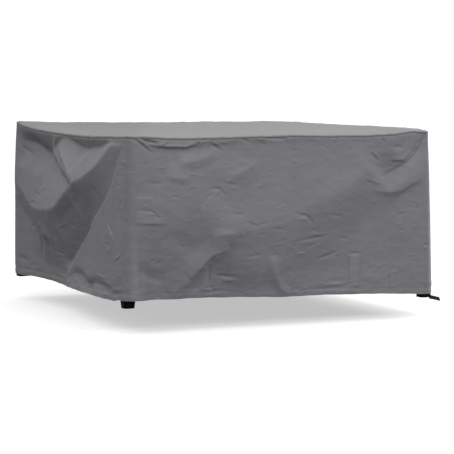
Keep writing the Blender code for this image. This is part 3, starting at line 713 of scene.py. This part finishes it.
def crumple_height(tree, place):
    """Small crumples of stiff coated cloth: soft dents, and thin wrinkles that run on for a
    few centimetres where a second noise lets them."""
    axes = {0: place.outputs["Object"], 1: CRUMPLE_AXES}
    drawn_out = add_node(tree, "ShaderNodeVectorMath", axes, operation="MULTIPLY")
    vector = drawn_out.outputs["Vector"]
    dents, lines, places = (
        add_node(
            tree,
            "ShaderNodeTexNoise",
            {"Vector": vector, "Scale": scale, "Detail": detail, "Distortion": 0.5},
        ).outputs[0]
        for scale, detail in (DENT_NOISE, WRINKLE_NOISE, WRINKLE_PLACE_NOISE)
    )
    aside = calculated(tree, "ABSOLUTE", calculated(tree, "SUBTRACT", lines, 0.5))
    wrinkle = ranged(tree, aside, (0.0, WRINKLE_REACH), (1.0, 0.0))
    here = ranged(tree, places, WRINKLE_PLACES, (0.0, WRINKLE_RISE))
    kept = calculated(tree, "MULTIPLY", wrinkle, here)
    return calculated(tree, "MULTIPLY_ADD", dents, DENT_DEPTH, kept)


def coated_canvas(name, light, dark, rough, hollow):
    """Woven polyester with a thin polyurethane coat: matt, slightly blue grey, with a fine
    weave, small crumples, cloudy tone where the coat is uneven, and painted light: folds painted a
    little paler than the hollows between them as painted highlight, and the hollows, which keep
    the hollow share of the tone, as painted shade."""
    material, tree = new_material(name)
    uv = add_node(tree, "ShaderNodeUVMap", uv_map="cut")
    place = add_node(tree, "ShaderNodeTexCoord")
    cloud = add_node(
        tree,
        "ShaderNodeTexNoise",
        {"Vector": place.outputs["Object"], "Scale": 7.0, "Detail": 6.0, "Roughness": 0.66},
    )
    tone = toned(tree, cloud.outputs[0], dark, light)
    painted_light = add_node(tree, "ShaderNodeAttribute", attribute_name="painted_light", attribute_type="GEOMETRY")
    # painted light: paler as painted highlight above zero, darker as painted shade below it, down
    # to the hollow share
    painted_light_tone = ranged(tree, painted_light.outputs["Fac"], (-1.0, 1.0), (hollow, PALEST), clamp=False)
    weave = weave_height(tree, uv, WEAVE_PITCH)
    shade = ranged(tree, weave, (-1.0, 1.0), WEAVE_SHADE)
    scale = calculated(tree, "MULTIPLY", painted_light_tone, shade)
    woven = add_node(tree, "ShaderNodeVectorMath", {0: tone, "Scale": scale}, operation="SCALE")
    crumples = crumple_height(tree, place)
    dented = bumped(tree, {"Height": crumples, "Strength": 1.0, "Distance": 1.0})
    show_surface(
        tree,
        {
            "Base Color": woven.outputs["Vector"],
            "Roughness": rough,
            "IOR": 1.5,
            "Specular IOR Level": 0.35,
            "Sheen Weight": 0.08,
            "Sheen Roughness": 0.5,
            "Normal": bumped(
                tree, {"Height": weave, "Strength": 0.15, "Distance": WEAVE_RISE, "Normal": dented}
            ),
        },
    )
    return material


def polypropylene_webbing(name):
    """Flat woven webbing: near black and matt, with ribs across its width."""
    material, tree = new_material(name)
    uv = add_node(tree, "ShaderNodeUVMap", uv_map="cut")
    ribs = add_node(
        tree,
        "ShaderNodeTexWave",
        {"Vector": uv.outputs["UV"], "Scale": 80.0, "Distortion": 0.4, "Detail": 1.0},
        wave_type="BANDS",
        bands_direction="X",
    ).outputs["Fac"]
    show_surface(
        tree,
        {
            "Base Color": toned(tree, ribs, "151517", "242427"),
            "Roughness": 0.75,
            "IOR": 1.49,
            "Specular IOR Level": 0.2,
            "Normal": bumped(tree, {"Height": ribs, "Strength": 0.5, "Distance": 0.0006}),
        },
    )
    return material


def painted_floor(name):
    """Flat floor paint: pale grey and matt, with a glow of its own that keeps it near white."""
    material, tree = new_material(name)
    show_surface(
        tree,
        {
            "Base Color": from_hex("C8C8C8"),
            "Roughness": 0.9,
            "Specular IOR Level": 0.2,
            "Emission Color": from_hex("FFFFFF"),
            "Emission Strength": 0.5,
        },
    )
    return material


# ---------------------------------------------------------------- shape of the cloth


def add_piece(name, mesh, material):
    """A bmesh as an object in the scene."""
    data = bpy.data.meshes.new(name)
    mesh.to_mesh(data)
    mesh.free()
    data.materials.append(material)
    item = bpy.data.objects.new(name, data)
    bpy.context.scene.collection.objects.link(item)
    return item


def thicken(item, sheet):
    """Gives a sheet its thickness, on the side away from its faces' normals."""
    thickness = item.modifiers.new("sheet", "SOLIDIFY")
    thickness.thickness = sheet
    thickness.offset = -1.0
    thickness.use_even_offset = True


def face_outward(mesh, face, inside):
    """Turns all faces so that this one looks away from a point inside."""
    if face.normal.dot(face.calc_center_median() - inside) < 0:
        bmesh.ops.reverse_faces(mesh, faces=mesh.faces)


def hermite(near, slope_near, far, slope_far, share):
    """Smooth curve between two values, with its slope at each of them."""
    square = share * share
    cube = square * share
    return (
        near * (2 * cube - 3 * square + 1)
        + slope_near * (cube - 2 * square + share)
        + far * (3 * square - 2 * cube)
        + slope_far * (cube - square)
    )


def bell(value, middle, reach):
    """One at the middle, fading to both sides over about the reach."""
    return np.exp(-((value - middle) ** 2) / reach**2)


def smooth_between(rows, along, field):
    """Value of a table column at a place along a wall, on a smooth curve through its rows."""
    values = [getattr(row, field) for row in rows]
    places = [row.along for row in rows]
    last = len(rows) - 1
    index = next((i for i in range(last) if along <= places[i + 1]), last - 1)
    before = max(index - 1, 0)
    after = min(index + 2, last)
    near, far = values[index], values[index + 1]
    reach = places[index + 1] - places[index]
    slope_near = (far - values[before]) / (places[index + 1] - places[before]) * reach
    slope_far = (values[after] - near) / (places[after] - places[index]) * reach
    share = min(max((along - places[index]) / reach, 0), 1)
    return hermite(near, slope_near, far, slope_far, share)


def dense_table(rows, field, straight):
    """A table column every millimetre along a wall."""
    places = np.arange(0, SIDE_LENGTH + DENSE_STEP, DENSE_STEP)
    if straight:
        return places, np.interp(places, *column(rows, field))
    return places, np.array([smooth_between(rows, place, field) for place in places])


def column(rows, field):
    """Places along a wall and a table's values there."""
    return [row.along for row in rows], [getattr(row, field) for row in rows]


def curve_down(heights, outs, height, softness):
    """Out of the cloth at a height: between the folds, straight or eased as softness says.
    heights and outs hold one row per fold, from the rim down."""
    runs = np.diff(heights, axis=0)
    slopes = np.diff(outs, axis=0) / runs
    same = slopes[:-1] * slopes[1:] > 0
    mean = 2 * slopes[:-1] * slopes[1:] / np.where(same, slopes[:-1] + slopes[1:], 1)
    inner = np.where(same, mean, 0)
    bends = np.concatenate([slopes[:1], inner, slopes[-1:]])
    result = outs[0].copy()
    for index, run in enumerate(runs):
        share = (height - heights[index]) / run
        inside = (share >= 0) & ((share <= 1) | (index == len(runs) - 1))
        share = np.clip(share, 0, 1)
        near, far = outs[index], outs[index + 1]
        eased = hermite(near, bends[index] * run, far, bends[index + 1] * run, share)
        straight = near * (1 - share) + far * share
        result = np.where(inside, straight + softness * (eased - straight), result)
    return result


def crease_relief(creases, along, height):
    """Sum of the creases at points of a wall, each fading towards both of its ends."""
    total = np.zeros_like(along)
    for crease in creases:
        path = np.array(crease.path)
        runs = np.diff(path, axis=0)
        lengths = np.hypot(runs[:, 0], runs[:, 1])
        done = np.concatenate([[0], np.cumsum(lengths)])
        nearest = np.full_like(along, BEYOND_CREASES)
        reached = np.zeros_like(along)
        for index, (run, length) in enumerate(zip(runs, lengths)):
            from_along = along - path[index][0]
            from_height = height - path[index][1]
            ahead = (from_along * run[0] + from_height * run[1]) / length
            aside = (from_height * run[0] - from_along * run[1]) / length
            narrowed = np.where(aside > 0, 1 - max(crease.lean, 0), 1 + min(crease.lean, 0))
            past = ahead - np.clip(ahead, 0, length)
            distance = np.hypot(aside / narrowed, past) / crease.spread
            closer = distance < nearest
            nearest = np.where(closer, distance, nearest)
            reached = np.where(closer, done[index] + np.clip(ahead, 0, length), reached)
        share = reached / done[-1]
        ends = np.clip(np.minimum(share, 1 - share) / CREASE_FADE, 0, 1)
        rest = 1 - np.clip(nearest, 0, 1)
        shape = rest * rest * (crease.crisp + (1 - crease.crisp) * (3 - 2 * rest))
        total += crease.out * shape * np.sqrt(ends)
    return total


def scattered_creases(seed):
    """Short shallow creases left by folding and packing, spread over a wall."""
    draw = np.random.default_rng(seed)
    creases = []
    for _ in range(SCATTERED_COUNT):
        along = draw.uniform(SCATTERED_MARGIN, SIDE_LENGTH - SCATTERED_MARGIN)
        height = SCATTERED_LOWEST + SCATTERED_BAND * draw.uniform(0, 1) ** SCATTERED_SINK
        turn = draw.normal(*SCATTERED_TURN)
        half = draw.uniform(*SCATTERED_HALF)
        bend = draw.normal(*SCATTERED_BEND)
        first = (along - half * math.cos(turn - bend), height - half * math.sin(turn - bend))
        last = (along + half * math.cos(turn + bend), height + half * math.sin(turn + bend))
        out = draw.choice([-1, 1]) * draw.uniform(*SCATTERED_OUT)
        spread = draw.uniform(*SCATTERED_SPREAD)
        creases.append(Crease((first, (along, height), last), out, spread))
    return creases


def cloth_noise(points, field, further=0):
    """Smooth noise at points, for the slight unevenness of cloth. It is the same on both
    pieces where they meet."""
    shift = Vector([(field.offset + further) * part for part in NOISE_SHIFT])
    flat = (points * field.axes).reshape(-1, 3)
    values = [noise.noise(Vector(point) * field.scale + shift) for point in flat]
    return np.array(values).reshape(points.shape[:-1])


def blurred(field, passes):
    """The field with its neighbours mixed in, so that a fold is never sharper than the cloth."""
    for _ in range(passes):
        wide = np.pad(field, ((1, 1), (0, 0)), mode="edge")
        field = (wide[:-2] + 2 * wide[1:-1] + wide[2:]) / 4
        wide = np.pad(field, ((0, 0), (1, 1)), mode="edge")
        field = (wide[:, :-2] + 2 * wide[:, 1:-1] + wide[:, 2:]) / 4
    return field


def corner_out(corner, share):
    """Flare of a corner seam, a curve through its middle and its hem."""
    return corner.out_mid * 4 * share * (1 - share) + corner.out_hem * share * (2 * share - 1)


def corner_radius(corner, share):
    """Radius of a corner at a share of the way from its rim to its hem."""
    return corner.top_radius + (corner.hem_radius - corner.top_radius) * share


def wall_shape(name):
    """Points of a wall as (columns, rows, 3), and its painted light: painted highlight and painted
    shade.
    """
    side = SIDES[name]
    start, end = CORNERS[side.start], CORNERS[side.end]
    straight = round(STRAIGHT_RUN / side.spacing)
    fraction = np.pad(np.linspace(0, 1, straight + 1), ARC_COLUMNS, mode="edge")
    arc = np.linspace(0, 1, ARC_COLUMNS + 1)[1:]
    turn = np.concatenate([arc[::-1], np.zeros(straight + 1), arc])
    at_start = fraction < 0.5
    share = np.linspace(0, 1, round(CLOTH_DEPTH / side.spacing) + 1)[None, :]
    radius_start = corner_radius(start, share)
    radius_end = corner_radius(end, share)
    along = radius_start + fraction[:, None] * (SIDE_LENGTH - radius_start - radius_end)
    # the tables' ends belong to the corners' edges
    low = (along - radius_start) * CORNER_BLEND / (CORNER_BLEND - radius_start)
    left = (SIDE_LENGTH - radius_end - along) * CORNER_BLEND / (CORNER_BLEND - radius_end)
    place = np.where(along < CORNER_BLEND, low, along)
    place = np.where(along > SIDE_LENGTH - CORNER_BLEND, SIDE_LENGTH - left, place)

    def read(rows, field, is_straight):
        return np.interp(place, *dense_table(rows, field, is_straight))

    def placed(out, height):
        return place_wall(side, along, turn, at_start, radius_start, radius_end, out, height)

    flat = placed(0 * along, 0 * along)
    rim = read(EDGES[name], "rim", True) - EDGE_DROP - SEAM_GAP
    rim = rim + rim_waver(flat[..., 0], flat[..., 1])
    hem = read(EDGES[name], "hem", True) + HEM_WAVER * cloth_noise(flat, HEM_WAVES)
    height = rim + (hem - rim) * share
    heights = [rim, rim - SEAM_STRIP]
    outs = [np.zeros_like(rim), np.zeros_like(rim)]
    for order, fold in enumerate(FOLD_NAMES):
        further = NEXT_FOLD * order
        waver = cloth_noise(flat, FOLD_WAVES, further)
        waver = waver + FOLD_RIPPLE_SHARE * cloth_noise(flat, FOLD_RIPPLES, further)
        lower = read(FALLS[name], fold, False) + FOLD_WAVER * waver
        heights.append(np.minimum(lower, heights[-1] - LEAST_ROW))
        outs.append(read(FALLS[name], fold + "_out", False) + FOLD_WAVER * FOLD_OUT_SHARE * waver)
    hem_out = read(FALLS[name], "hem_out", False)
    part = (heights[-1] - hem - HEM_STRIP) / (heights[-1] - hem)
    outs += [outs[-1] + (hem_out - outs[-1]) * part, hem_out]
    heights += [hem + HEM_STRIP, hem]
    out = curve_down(np.array(heights), np.array(outs), height, side.softness)
    # flare at the corners, where the folds fade out so that the walls meet at the seam
    flare = np.where(at_start[:, None], corner_out(start, share), corner_out(end, share))
    eased = np.clip(turn * CORNER_EASE, 0, 1)[:, None]
    eased = eased * eased * (3 - 2 * eased)
    relief = crease_relief([*CREASES[name], *scattered_creases(side.seed)], along, height)
    out = blurred(out * (1 - eased) + flare * eased, 1) + relief * (1 - eased)
    flat[..., 2] = height
    out += uneven_hang(flat, rim - height, height - hem)
    # seam under the rolled edge, and the hem with its stitched line
    over_hem = height - hem
    out -= SEAM_TUCK * np.clip(1 - (rim - height) / SEAM_TUCK_REACH, 0, 1)
    out += HEM_PROUD * np.clip((HEM_DEPTH - over_hem) / HEM_STEP, 0, 1)
    out -= STITCH_DEPTH * bell(over_hem, HEM_DEPTH + STITCH_ABOVE, STITCH_REACH)
    # painted light: a painted highlight where a point stands out from the cloth around it, painted
    # shade (less than none) in a hollow
    painted_light = np.clip((out - blurred(out, PAINTED_LIGHT_PASSES)) / PAINTED_LIGHT_HEIGHT, -1, 1)
    # painted highlight along the front right seam's lower part
    painted_light += seam_highlight(name, turn, at_start, height)
    return placed(out, height), painted_light


def seam_highlight(name, turn, at_start, height):
    """Painted highlight along the lower part of the front right corner's seam."""
    beside = {"front_wall": ~at_start, "right_wall": at_start}.get(name)
    if beside is None:
        return 0
    near = beside * np.clip((turn - SEAM_HIGHLIGHT_TURN) / SEAM_HIGHLIGHT_EASE, 0, 1)
    return SEAM_HIGHLIGHT * near[:, None] * np.clip((SEAM_HIGHLIGHT_TOP - height) / SEAM_HIGHLIGHT_FADE, 0, 1)


def rim_waver(x, y):
    """Slight rise and fall of the sewn rim, the same for the top panel and the walls."""
    points = np.stack([x, y, np.zeros_like(x)], axis=-1)
    waver = cloth_noise(points, RIM_WAVES) + RIM_RIPPLE_SHARE * cloth_noise(points, RIM_RIPPLES)
    return RIM_WAVER * waver


def uneven_hang(points, below, above):
    """Slight waves of hung cloth, crumpled lines, and the puckers that stitching draws into it."""
    strength = PUCKER_MEAN + PUCKER_SWING * cloth_noise(points, PUCKER_PLACES)
    uneven = np.clip(strength, *PUCKER_LIMITS)
    pucker = uneven * cloth_noise(points, PUCKERS)
    pull = uneven * cloth_noise(points, DRAWN_CLOTH)
    out = HANG_WAVE * cloth_noise(points, HANG_WAVES)
    out += HANG_RIPPLE * cloth_noise(points, HANG_RIPPLES)
    out -= HANG_CRUMPLE * np.abs(cloth_noise(points, HANG_CRUMPLES))
    out *= np.clip(below / HANG_START, 0, 1)
    out += HEM_PULL * pull * bell(above, HEM_PULL_HEIGHT, HEM_PULL_HEIGHT)
    out += HEM_PUCKER * pucker * bell(above, HEM_DEPTH, PUCKER_REACH)
    at_rim = np.exp(-below / PUCKER_REACH) * np.clip(below / RIM_PUCKER_START, 0, 1)
    out += RIM_PUCKER * pucker * at_rim
    return out


def place_wall(side, along, turn, at_start, radius_start, radius_end, out, height):
    """Puts a wall's points round its corners and along its side."""
    run = np.array(side.along, float)
    away = np.array(side.outward, float)
    home = np.array(CORNERS[side.start].toward, float) * HALF_SIDE
    sign = np.where(at_start, -1, 1)[:, None]
    radius = np.where(at_start[:, None], radius_start, radius_end)
    angle = (turn * ARC_LIMIT)[:, None]
    reach = along + sign * (radius + out) * np.sin(angle)
    depth = (radius + out) * np.cos(angle) - radius
    plan = home + reach[..., None] * run + depth[..., None] * away
    return np.concatenate([plan, (height - MIDDLE_UNDERSIDE)[..., None]], axis=-1)


def rim_along(name, along):
    """Height of a wall's rim at places along it."""
    return np.interp(along, *column(EDGES[name], "rim"))


def rim_surface(along_x, along_y):
    """Height of cloth stretched between the rims of the four walls."""
    share_x = along_x / SIDE_LENGTH
    share_y = along_y / SIDE_LENGTH
    front, back = (rim_along(name, along_x) for name in ("front_wall", "back_wall"))
    left, right = (rim_along(name, along_y) for name in ("left_wall", "right_wall"))
    height = front * (1 - share_y) + back * share_y + left * (1 - share_x) + right * share_x
    for name, toward in (("front_wall", 1 - share_y), ("back_wall", share_y)):
        low, high = EDGES[name][0].rim, EDGES[name][-1].rim
        height -= (low * (1 - share_x) + high * share_x) * toward
    return height


def top_shape():
    """Points of the top panel as a square grid with rounded corners and a rolled edge, its
    painted light and its cut."""
    corner_flat = CORNERS["front_left"].top_radius - EDGE_ROLL
    flat_half = HALF_SIDE - EDGE_ROLL
    half = flat_half - corner_flat
    arc = EDGE_ROLL * math.pi / 2
    inner = np.linspace(-half, half, TOP_STEPS)
    corner_steps = np.linspace(0, corner_flat, TOP_CORNER_STEPS)[1:]
    roll_steps = np.linspace(0, arc, TOP_ROLL_STEPS)[1:]
    roll_steps = corner_flat + np.concatenate([roll_steps, [arc + EDGE_LIP / 2, arc + EDGE_LIP]])
    rim_steps = half + np.concatenate([corner_steps, roll_steps])
    line = np.concatenate([-rim_steps[::-1], inner, rim_steps])
    u, v = np.meshgrid(line, line, indexing="ij")
    # past the flat part the cloth turns down over its rolled edge
    qu = np.clip(np.abs(u) - half, 0, None)
    qv = np.clip(np.abs(v) - half, 0, None)
    far = np.maximum(qu, qv)
    length = np.hypot(qu, qv)
    safe = np.where(length > 0, length, 1)
    roll = np.clip(far - corner_flat, 0, None)
    bend = np.clip(roll / EDGE_ROLL, 0, math.pi / 2)
    reach = np.minimum(far, corner_flat) + EDGE_ROLL * np.sin(bend)
    drop = EDGE_ROLL * (1 - np.cos(bend)) + np.clip(roll - arc, 0, None)
    x = np.sign(u) * (np.minimum(np.abs(u), half) + reach * qu / safe)
    y = np.sign(v) * (np.minimum(np.abs(v), half) + reach * qv / safe)
    height = rim_surface(*(np.clip(place + HALF_SIDE, 0, SIDE_LENGTH) for place in (x, y)))
    # the cloth between the rims: swells, waves and fold lines
    edge_share = np.clip(np.maximum(np.abs(x), np.abs(y)) / flat_half, 0, 1)
    height += rim_waver(x, y) * edge_share**TOP_RIM_POWER
    flat_points = np.stack([u, v, np.zeros_like(u)], axis=-1)
    sway = TOP_WAVE * cloth_noise(flat_points, TOP_WAVES)
    sway += TOP_RIPPLE * cloth_noise(flat_points, TOP_RIPPLES)
    sway += crease_relief(TOP_CREASES, x, y)
    for swell in SWELLS:
        distance = np.clip(np.hypot(x - swell.x, y - swell.y) / swell.spread, 0, 1)
        sway += swell.rise * (0.5 + 0.5 * np.cos(math.pi * distance))
    height += sway * (1 - edge_share**2)
    tuck = SEAM_TUCK * np.clip((roll - arc) / EDGE_LIP, 0, 1)
    x -= np.sign(u) * tuck * qu / safe
    y -= np.sign(v) * tuck * qv / safe
    points = np.stack([x, y, height - drop - MIDDLE_UNDERSIDE], axis=-1)
    # painted light: a painted highlight on the roll, painted shade left of the fold
    painted_light = 1 - np.abs(roll - arc * ROLL_HIGHLIGHT_MIDDLE) / (arc * ROLL_HIGHLIGHT_REACH)
    painted_light = np.where(roll > 0, np.clip(painted_light, 0, 1) * ROLL_HIGHLIGHT, 0)
    # painted shade on the top panel left of the fold from the front left corner
    beside = (x + HALF_SIDE) * math.cos(TOP_FOLD_TURN) - (y + HALF_SIDE) * math.sin(TOP_FOLD_TURN)
    painted_light -= TOP_FOLD_SHADE * np.clip(0.5 - beside / TOP_FOLD_REACH, 0, 1)
    return points, painted_light, np.stack([u, v], axis=-1)


def cut_lengths(points):
    """Flat position of each point of a wall: its way along and its way down the cloth."""
    along = np.linalg.norm(np.diff(points, axis=0), axis=-1)
    down = np.linalg.norm(np.diff(points, axis=1), axis=-1)
    along = np.concatenate([np.zeros_like(along[:1]), np.cumsum(along, axis=0)])
    down = np.concatenate([np.zeros_like(down[:, :1]), np.cumsum(down, axis=1)], axis=1)
    return np.stack([along, -down], axis=-1)


def cloth_piece(name, points, painted_light, cut, material, inside):
    """A sheet of cloth on a grid of points, with its thickness, its cut as UV and its painted
    light.
    """
    across = points.shape[0] - 1
    down = points.shape[1] - 1
    mesh = bmesh.new()
    bmesh.ops.create_grid(mesh, x_segments=across, y_segments=down, size=1.0)
    uv_layer = mesh.loops.layers.uv.new("cut")
    painted_light_layer = mesh.verts.layers.float.new("painted_light")
    places = {}
    for vert in mesh.verts:
        place = (round((vert.co.x + 1) / 2 * across), round((1 - vert.co.y) / 2 * down))
        places[vert] = place
        vert.co = points[place]
        vert[painted_light_layer] = painted_light[place]
    for face in mesh.faces:
        face.smooth = True
        for loop in face.loops:
            loop[uv_layer].uv = cut[places[loop.vert]]
    for edge in mesh.edges:
        edge.smooth = not edge.is_boundary
    bmesh.ops.recalc_face_normals(mesh, faces=mesh.faces)
    mesh.faces.ensure_lookup_table()
    face_outward(mesh, mesh.faces[len(mesh.faces) // 2], inside)
    item = add_piece(name, mesh, material)
    thicken(item, SHEET)
    return item


# ---------------------------------------------------------------- straps


def corner_edge(corner_name):
    """Row of the table of edges at a corner."""
    name = next(key for key, side in SIDES.items() if corner_name in (side.start, side.end))
    return EDGES[name][0 if SIDES[name].start == corner_name else -1]


def corner_face(corner_name, height):
    """Plan point on the inner face of a corner seam, and its outward direction."""
    corner, edge = CORNERS[corner_name], corner_edge(corner_name)
    share = min(max((edge.rim - height) / (edge.rim - edge.hem), 0), 1)
    outward = Vector(corner.toward).normalized()
    inset = corner_radius(corner, share) * (math.sqrt(2) - 1)
    inset += SHEET - corner_out(corner, share)
    return Vector(corner.toward) * HALF_SIDE - outward * inset, outward


def loop_outline(scale):
    """Outline of a strap loop about its centre: a square of webbing with round corners."""
    outline = []
    for step in range(LOOP_POINTS):
        angle = math.tau * step / LOOP_POINTS
        x = math.copysign(math.sqrt(abs(math.cos(angle))), math.cos(angle))
        y = math.copysign(math.sqrt(abs(math.sin(angle))), math.sin(angle))
        outline.append(Vector((x, y)) * LOOP_HALF * scale)
    return outline


def loop_mesh(centre, toward, foot, head, foot_scale):
    """A strap's loop between two heights, and its points that the tab is sewn to."""
    mesh = bmesh.new()
    bmesh.ops.create_cone(
        mesh, cap_ends=False, segments=LOOP_POINTS, radius1=1, radius2=1, depth=2
    )
    uv_layer = mesh.loops.layers.uv.new("cut")
    outlines = {True: loop_outline(1.0), False: loop_outline(foot_scale)}
    steps = {}
    sewn = []
    for vert in mesh.verts:
        upper = vert.co.z > 0
        share = math.atan2(vert.co.y, vert.co.x) % math.tau / math.tau
        step = round(share * LOOP_POINTS) % LOOP_POINTS
        steps[vert] = (step, upper)
        point = outlines[upper][step]
        place = centre + Vector((point.x * toward[0], point.y * toward[1]))
        vert.co = (place.x, place.y, (head if upper else foot) - MIDDLE_UNDERSIDE)
        if upper and abs(step - LOOP_POINTS // 8) <= TAB_STEPS:
            sewn.append(vert)
    for face in mesh.faces:
        face.smooth = True
        wraps = {steps[loop.vert][0] for loop in face.loops} >= {0, LOOP_POINTS - 1}
        for loop in face.loops:
            step, upper = steps[loop.vert]
            step = LOOP_POINTS if wraps and step == 0 else step
            loop[uv_layer].uv = (step / LOOP_POINTS * ROUND_TRIP, WEBBING_WIDTH if upper else 0)
    return mesh, sewn


def sew_tab(mesh, sewn, corner_name, heights):
    """Runs the tab from the loop's points up to each height on the inside of the seam."""
    edges = [edge for edge in mesh.edges if all(vert in sewn for vert in edge.verts)]
    for height in heights:
        grown = bmesh.ops.extrude_edge_only(mesh, edges=edges)["geom"]
        verts = [item for item in grown if isinstance(item, bmesh.types.BMVert)]
        edges = [item for item in grown if isinstance(item, bmesh.types.BMEdge)]
        edges = [edge for edge in edges if all(vert in verts for vert in edge.verts)]
        face, outward = corner_face(corner_name, height)
        sideways = Vector((-outward.y, outward.x))
        middle = sum((vert.co.xy for vert in verts), Vector((0, 0))) / len(verts)
        widest = max(abs(sideways.dot(vert.co.xy - middle)) for vert in verts)
        for vert in verts:
            offset = sideways.dot(vert.co.xy - middle) / widest
            place = face - outward * SEAM_GAP + sideways * TAB_HALF * offset
            vert.co = (place.x, place.y, height - MIDDLE_UNDERSIDE)


def strap_piece(name, material):
    """A strap's loop with its tab, and the loop's centre."""
    strap = STRAPS[name]
    hem = corner_edge(strap.corner).hem
    foot = hem - strap.below_hem
    head = foot + WEBBING_WIDTH
    face, outward = corner_face(strap.corner, max(head, hem))
    centre = face - outward * (LOOP_REACH + SEAM_GAP) + Vector(strap.shift)
    mesh, sewn = loop_mesh(centre, CORNERS[strap.corner].toward, foot, head, strap.foot_scale)
    sew_tab(mesh, sewn, strap.corner, (max(head, hem) + TAB_BEND, hem + TAB_RISE))
    bmesh.ops.recalc_face_normals(mesh, faces=mesh.faces)
    inside = Vector((centre.x, centre.y, foot - MIDDLE_UNDERSIDE))
    face_outward(mesh, next(item for item in mesh.faces if len(item.verts) == 4), inside)
    item = add_piece("webbing_" + name, mesh, material)
    thicken(item, WEBBING_SHEET)
    return item, centre


def free_end_piece(centre, material):
    """The end of the webbing that sticks out past the front right loop."""
    line = np.array(FREE_END)
    columns = []
    for step in np.linspace(0, len(line) - 1, FREE_END_STEPS):
        x, y, height, tilt = (np.interp(step, np.arange(len(line)), values) for values in line.T)
        tilt = math.radians(tilt)
        middle = np.array([centre.x + LOOP_HALF + x, centre.y + y, height - MIDDLE_UNDERSIDE])
        across = np.array([0, math.cos(tilt), math.sin(tilt)]) * FREE_END_WIDTH / 2
        columns.append([middle + across * share for share in FREE_END_ACROSS])
    points = np.array(columns)
    painted_light = np.zeros(points.shape[:2])
    inside = Vector((centre.x, centre.y, -1))
    item = cloth_piece("webbing_free_end", points, painted_light, cut_lengths(points), material, inside)
    item.modifiers["sheet"].thickness = WEBBING_SHEET
    return item


# ---------------------------------------------------------------- the cover

place_camera()
place_studio()
place_floor(painted_floor("pale matt floor paint"))

wall_cloth = coated_canvas("coated polyester canvas, walls", "858489", "757479", 0.72, 0.91)
# the top's cloth carries painted shade left of its fold and a painted highlight on its roll
top_cloth = coated_canvas("coated polyester canvas, top, dusty", "838384", "727273", 0.76, 0.80)
webbing = polypropylene_webbing("black polypropylene webbing")

below = Vector((0, 0, -1.0))
middle = Vector((0, 0, -0.4))
top_points, top_painted_light, top_cut = top_shape()
top = cloth_piece("cloth_top", top_points, top_painted_light, top_cut, top_cloth, below)
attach(top, "root")
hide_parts("top_panel")
for wall_name in SIDES:
    wall_points, wall_painted_light = wall_shape(wall_name)
    wall_cut = cut_lengths(wall_points)
    wall = cloth_piece("cloth_" + wall_name, wall_points, wall_painted_light, wall_cut, wall_cloth, middle)
    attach(wall, "root")
    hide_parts(wall_name)
for strap_name in STRAPS:
    strap_item, loop_centre = strap_piece(strap_name, webbing)
    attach(strap_item, "root")
    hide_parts(strap_name)
    if strap_name == "front_right_strap":
        tail_item = free_end_piece(loop_centre, webbing)
        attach(tail_item, "root")
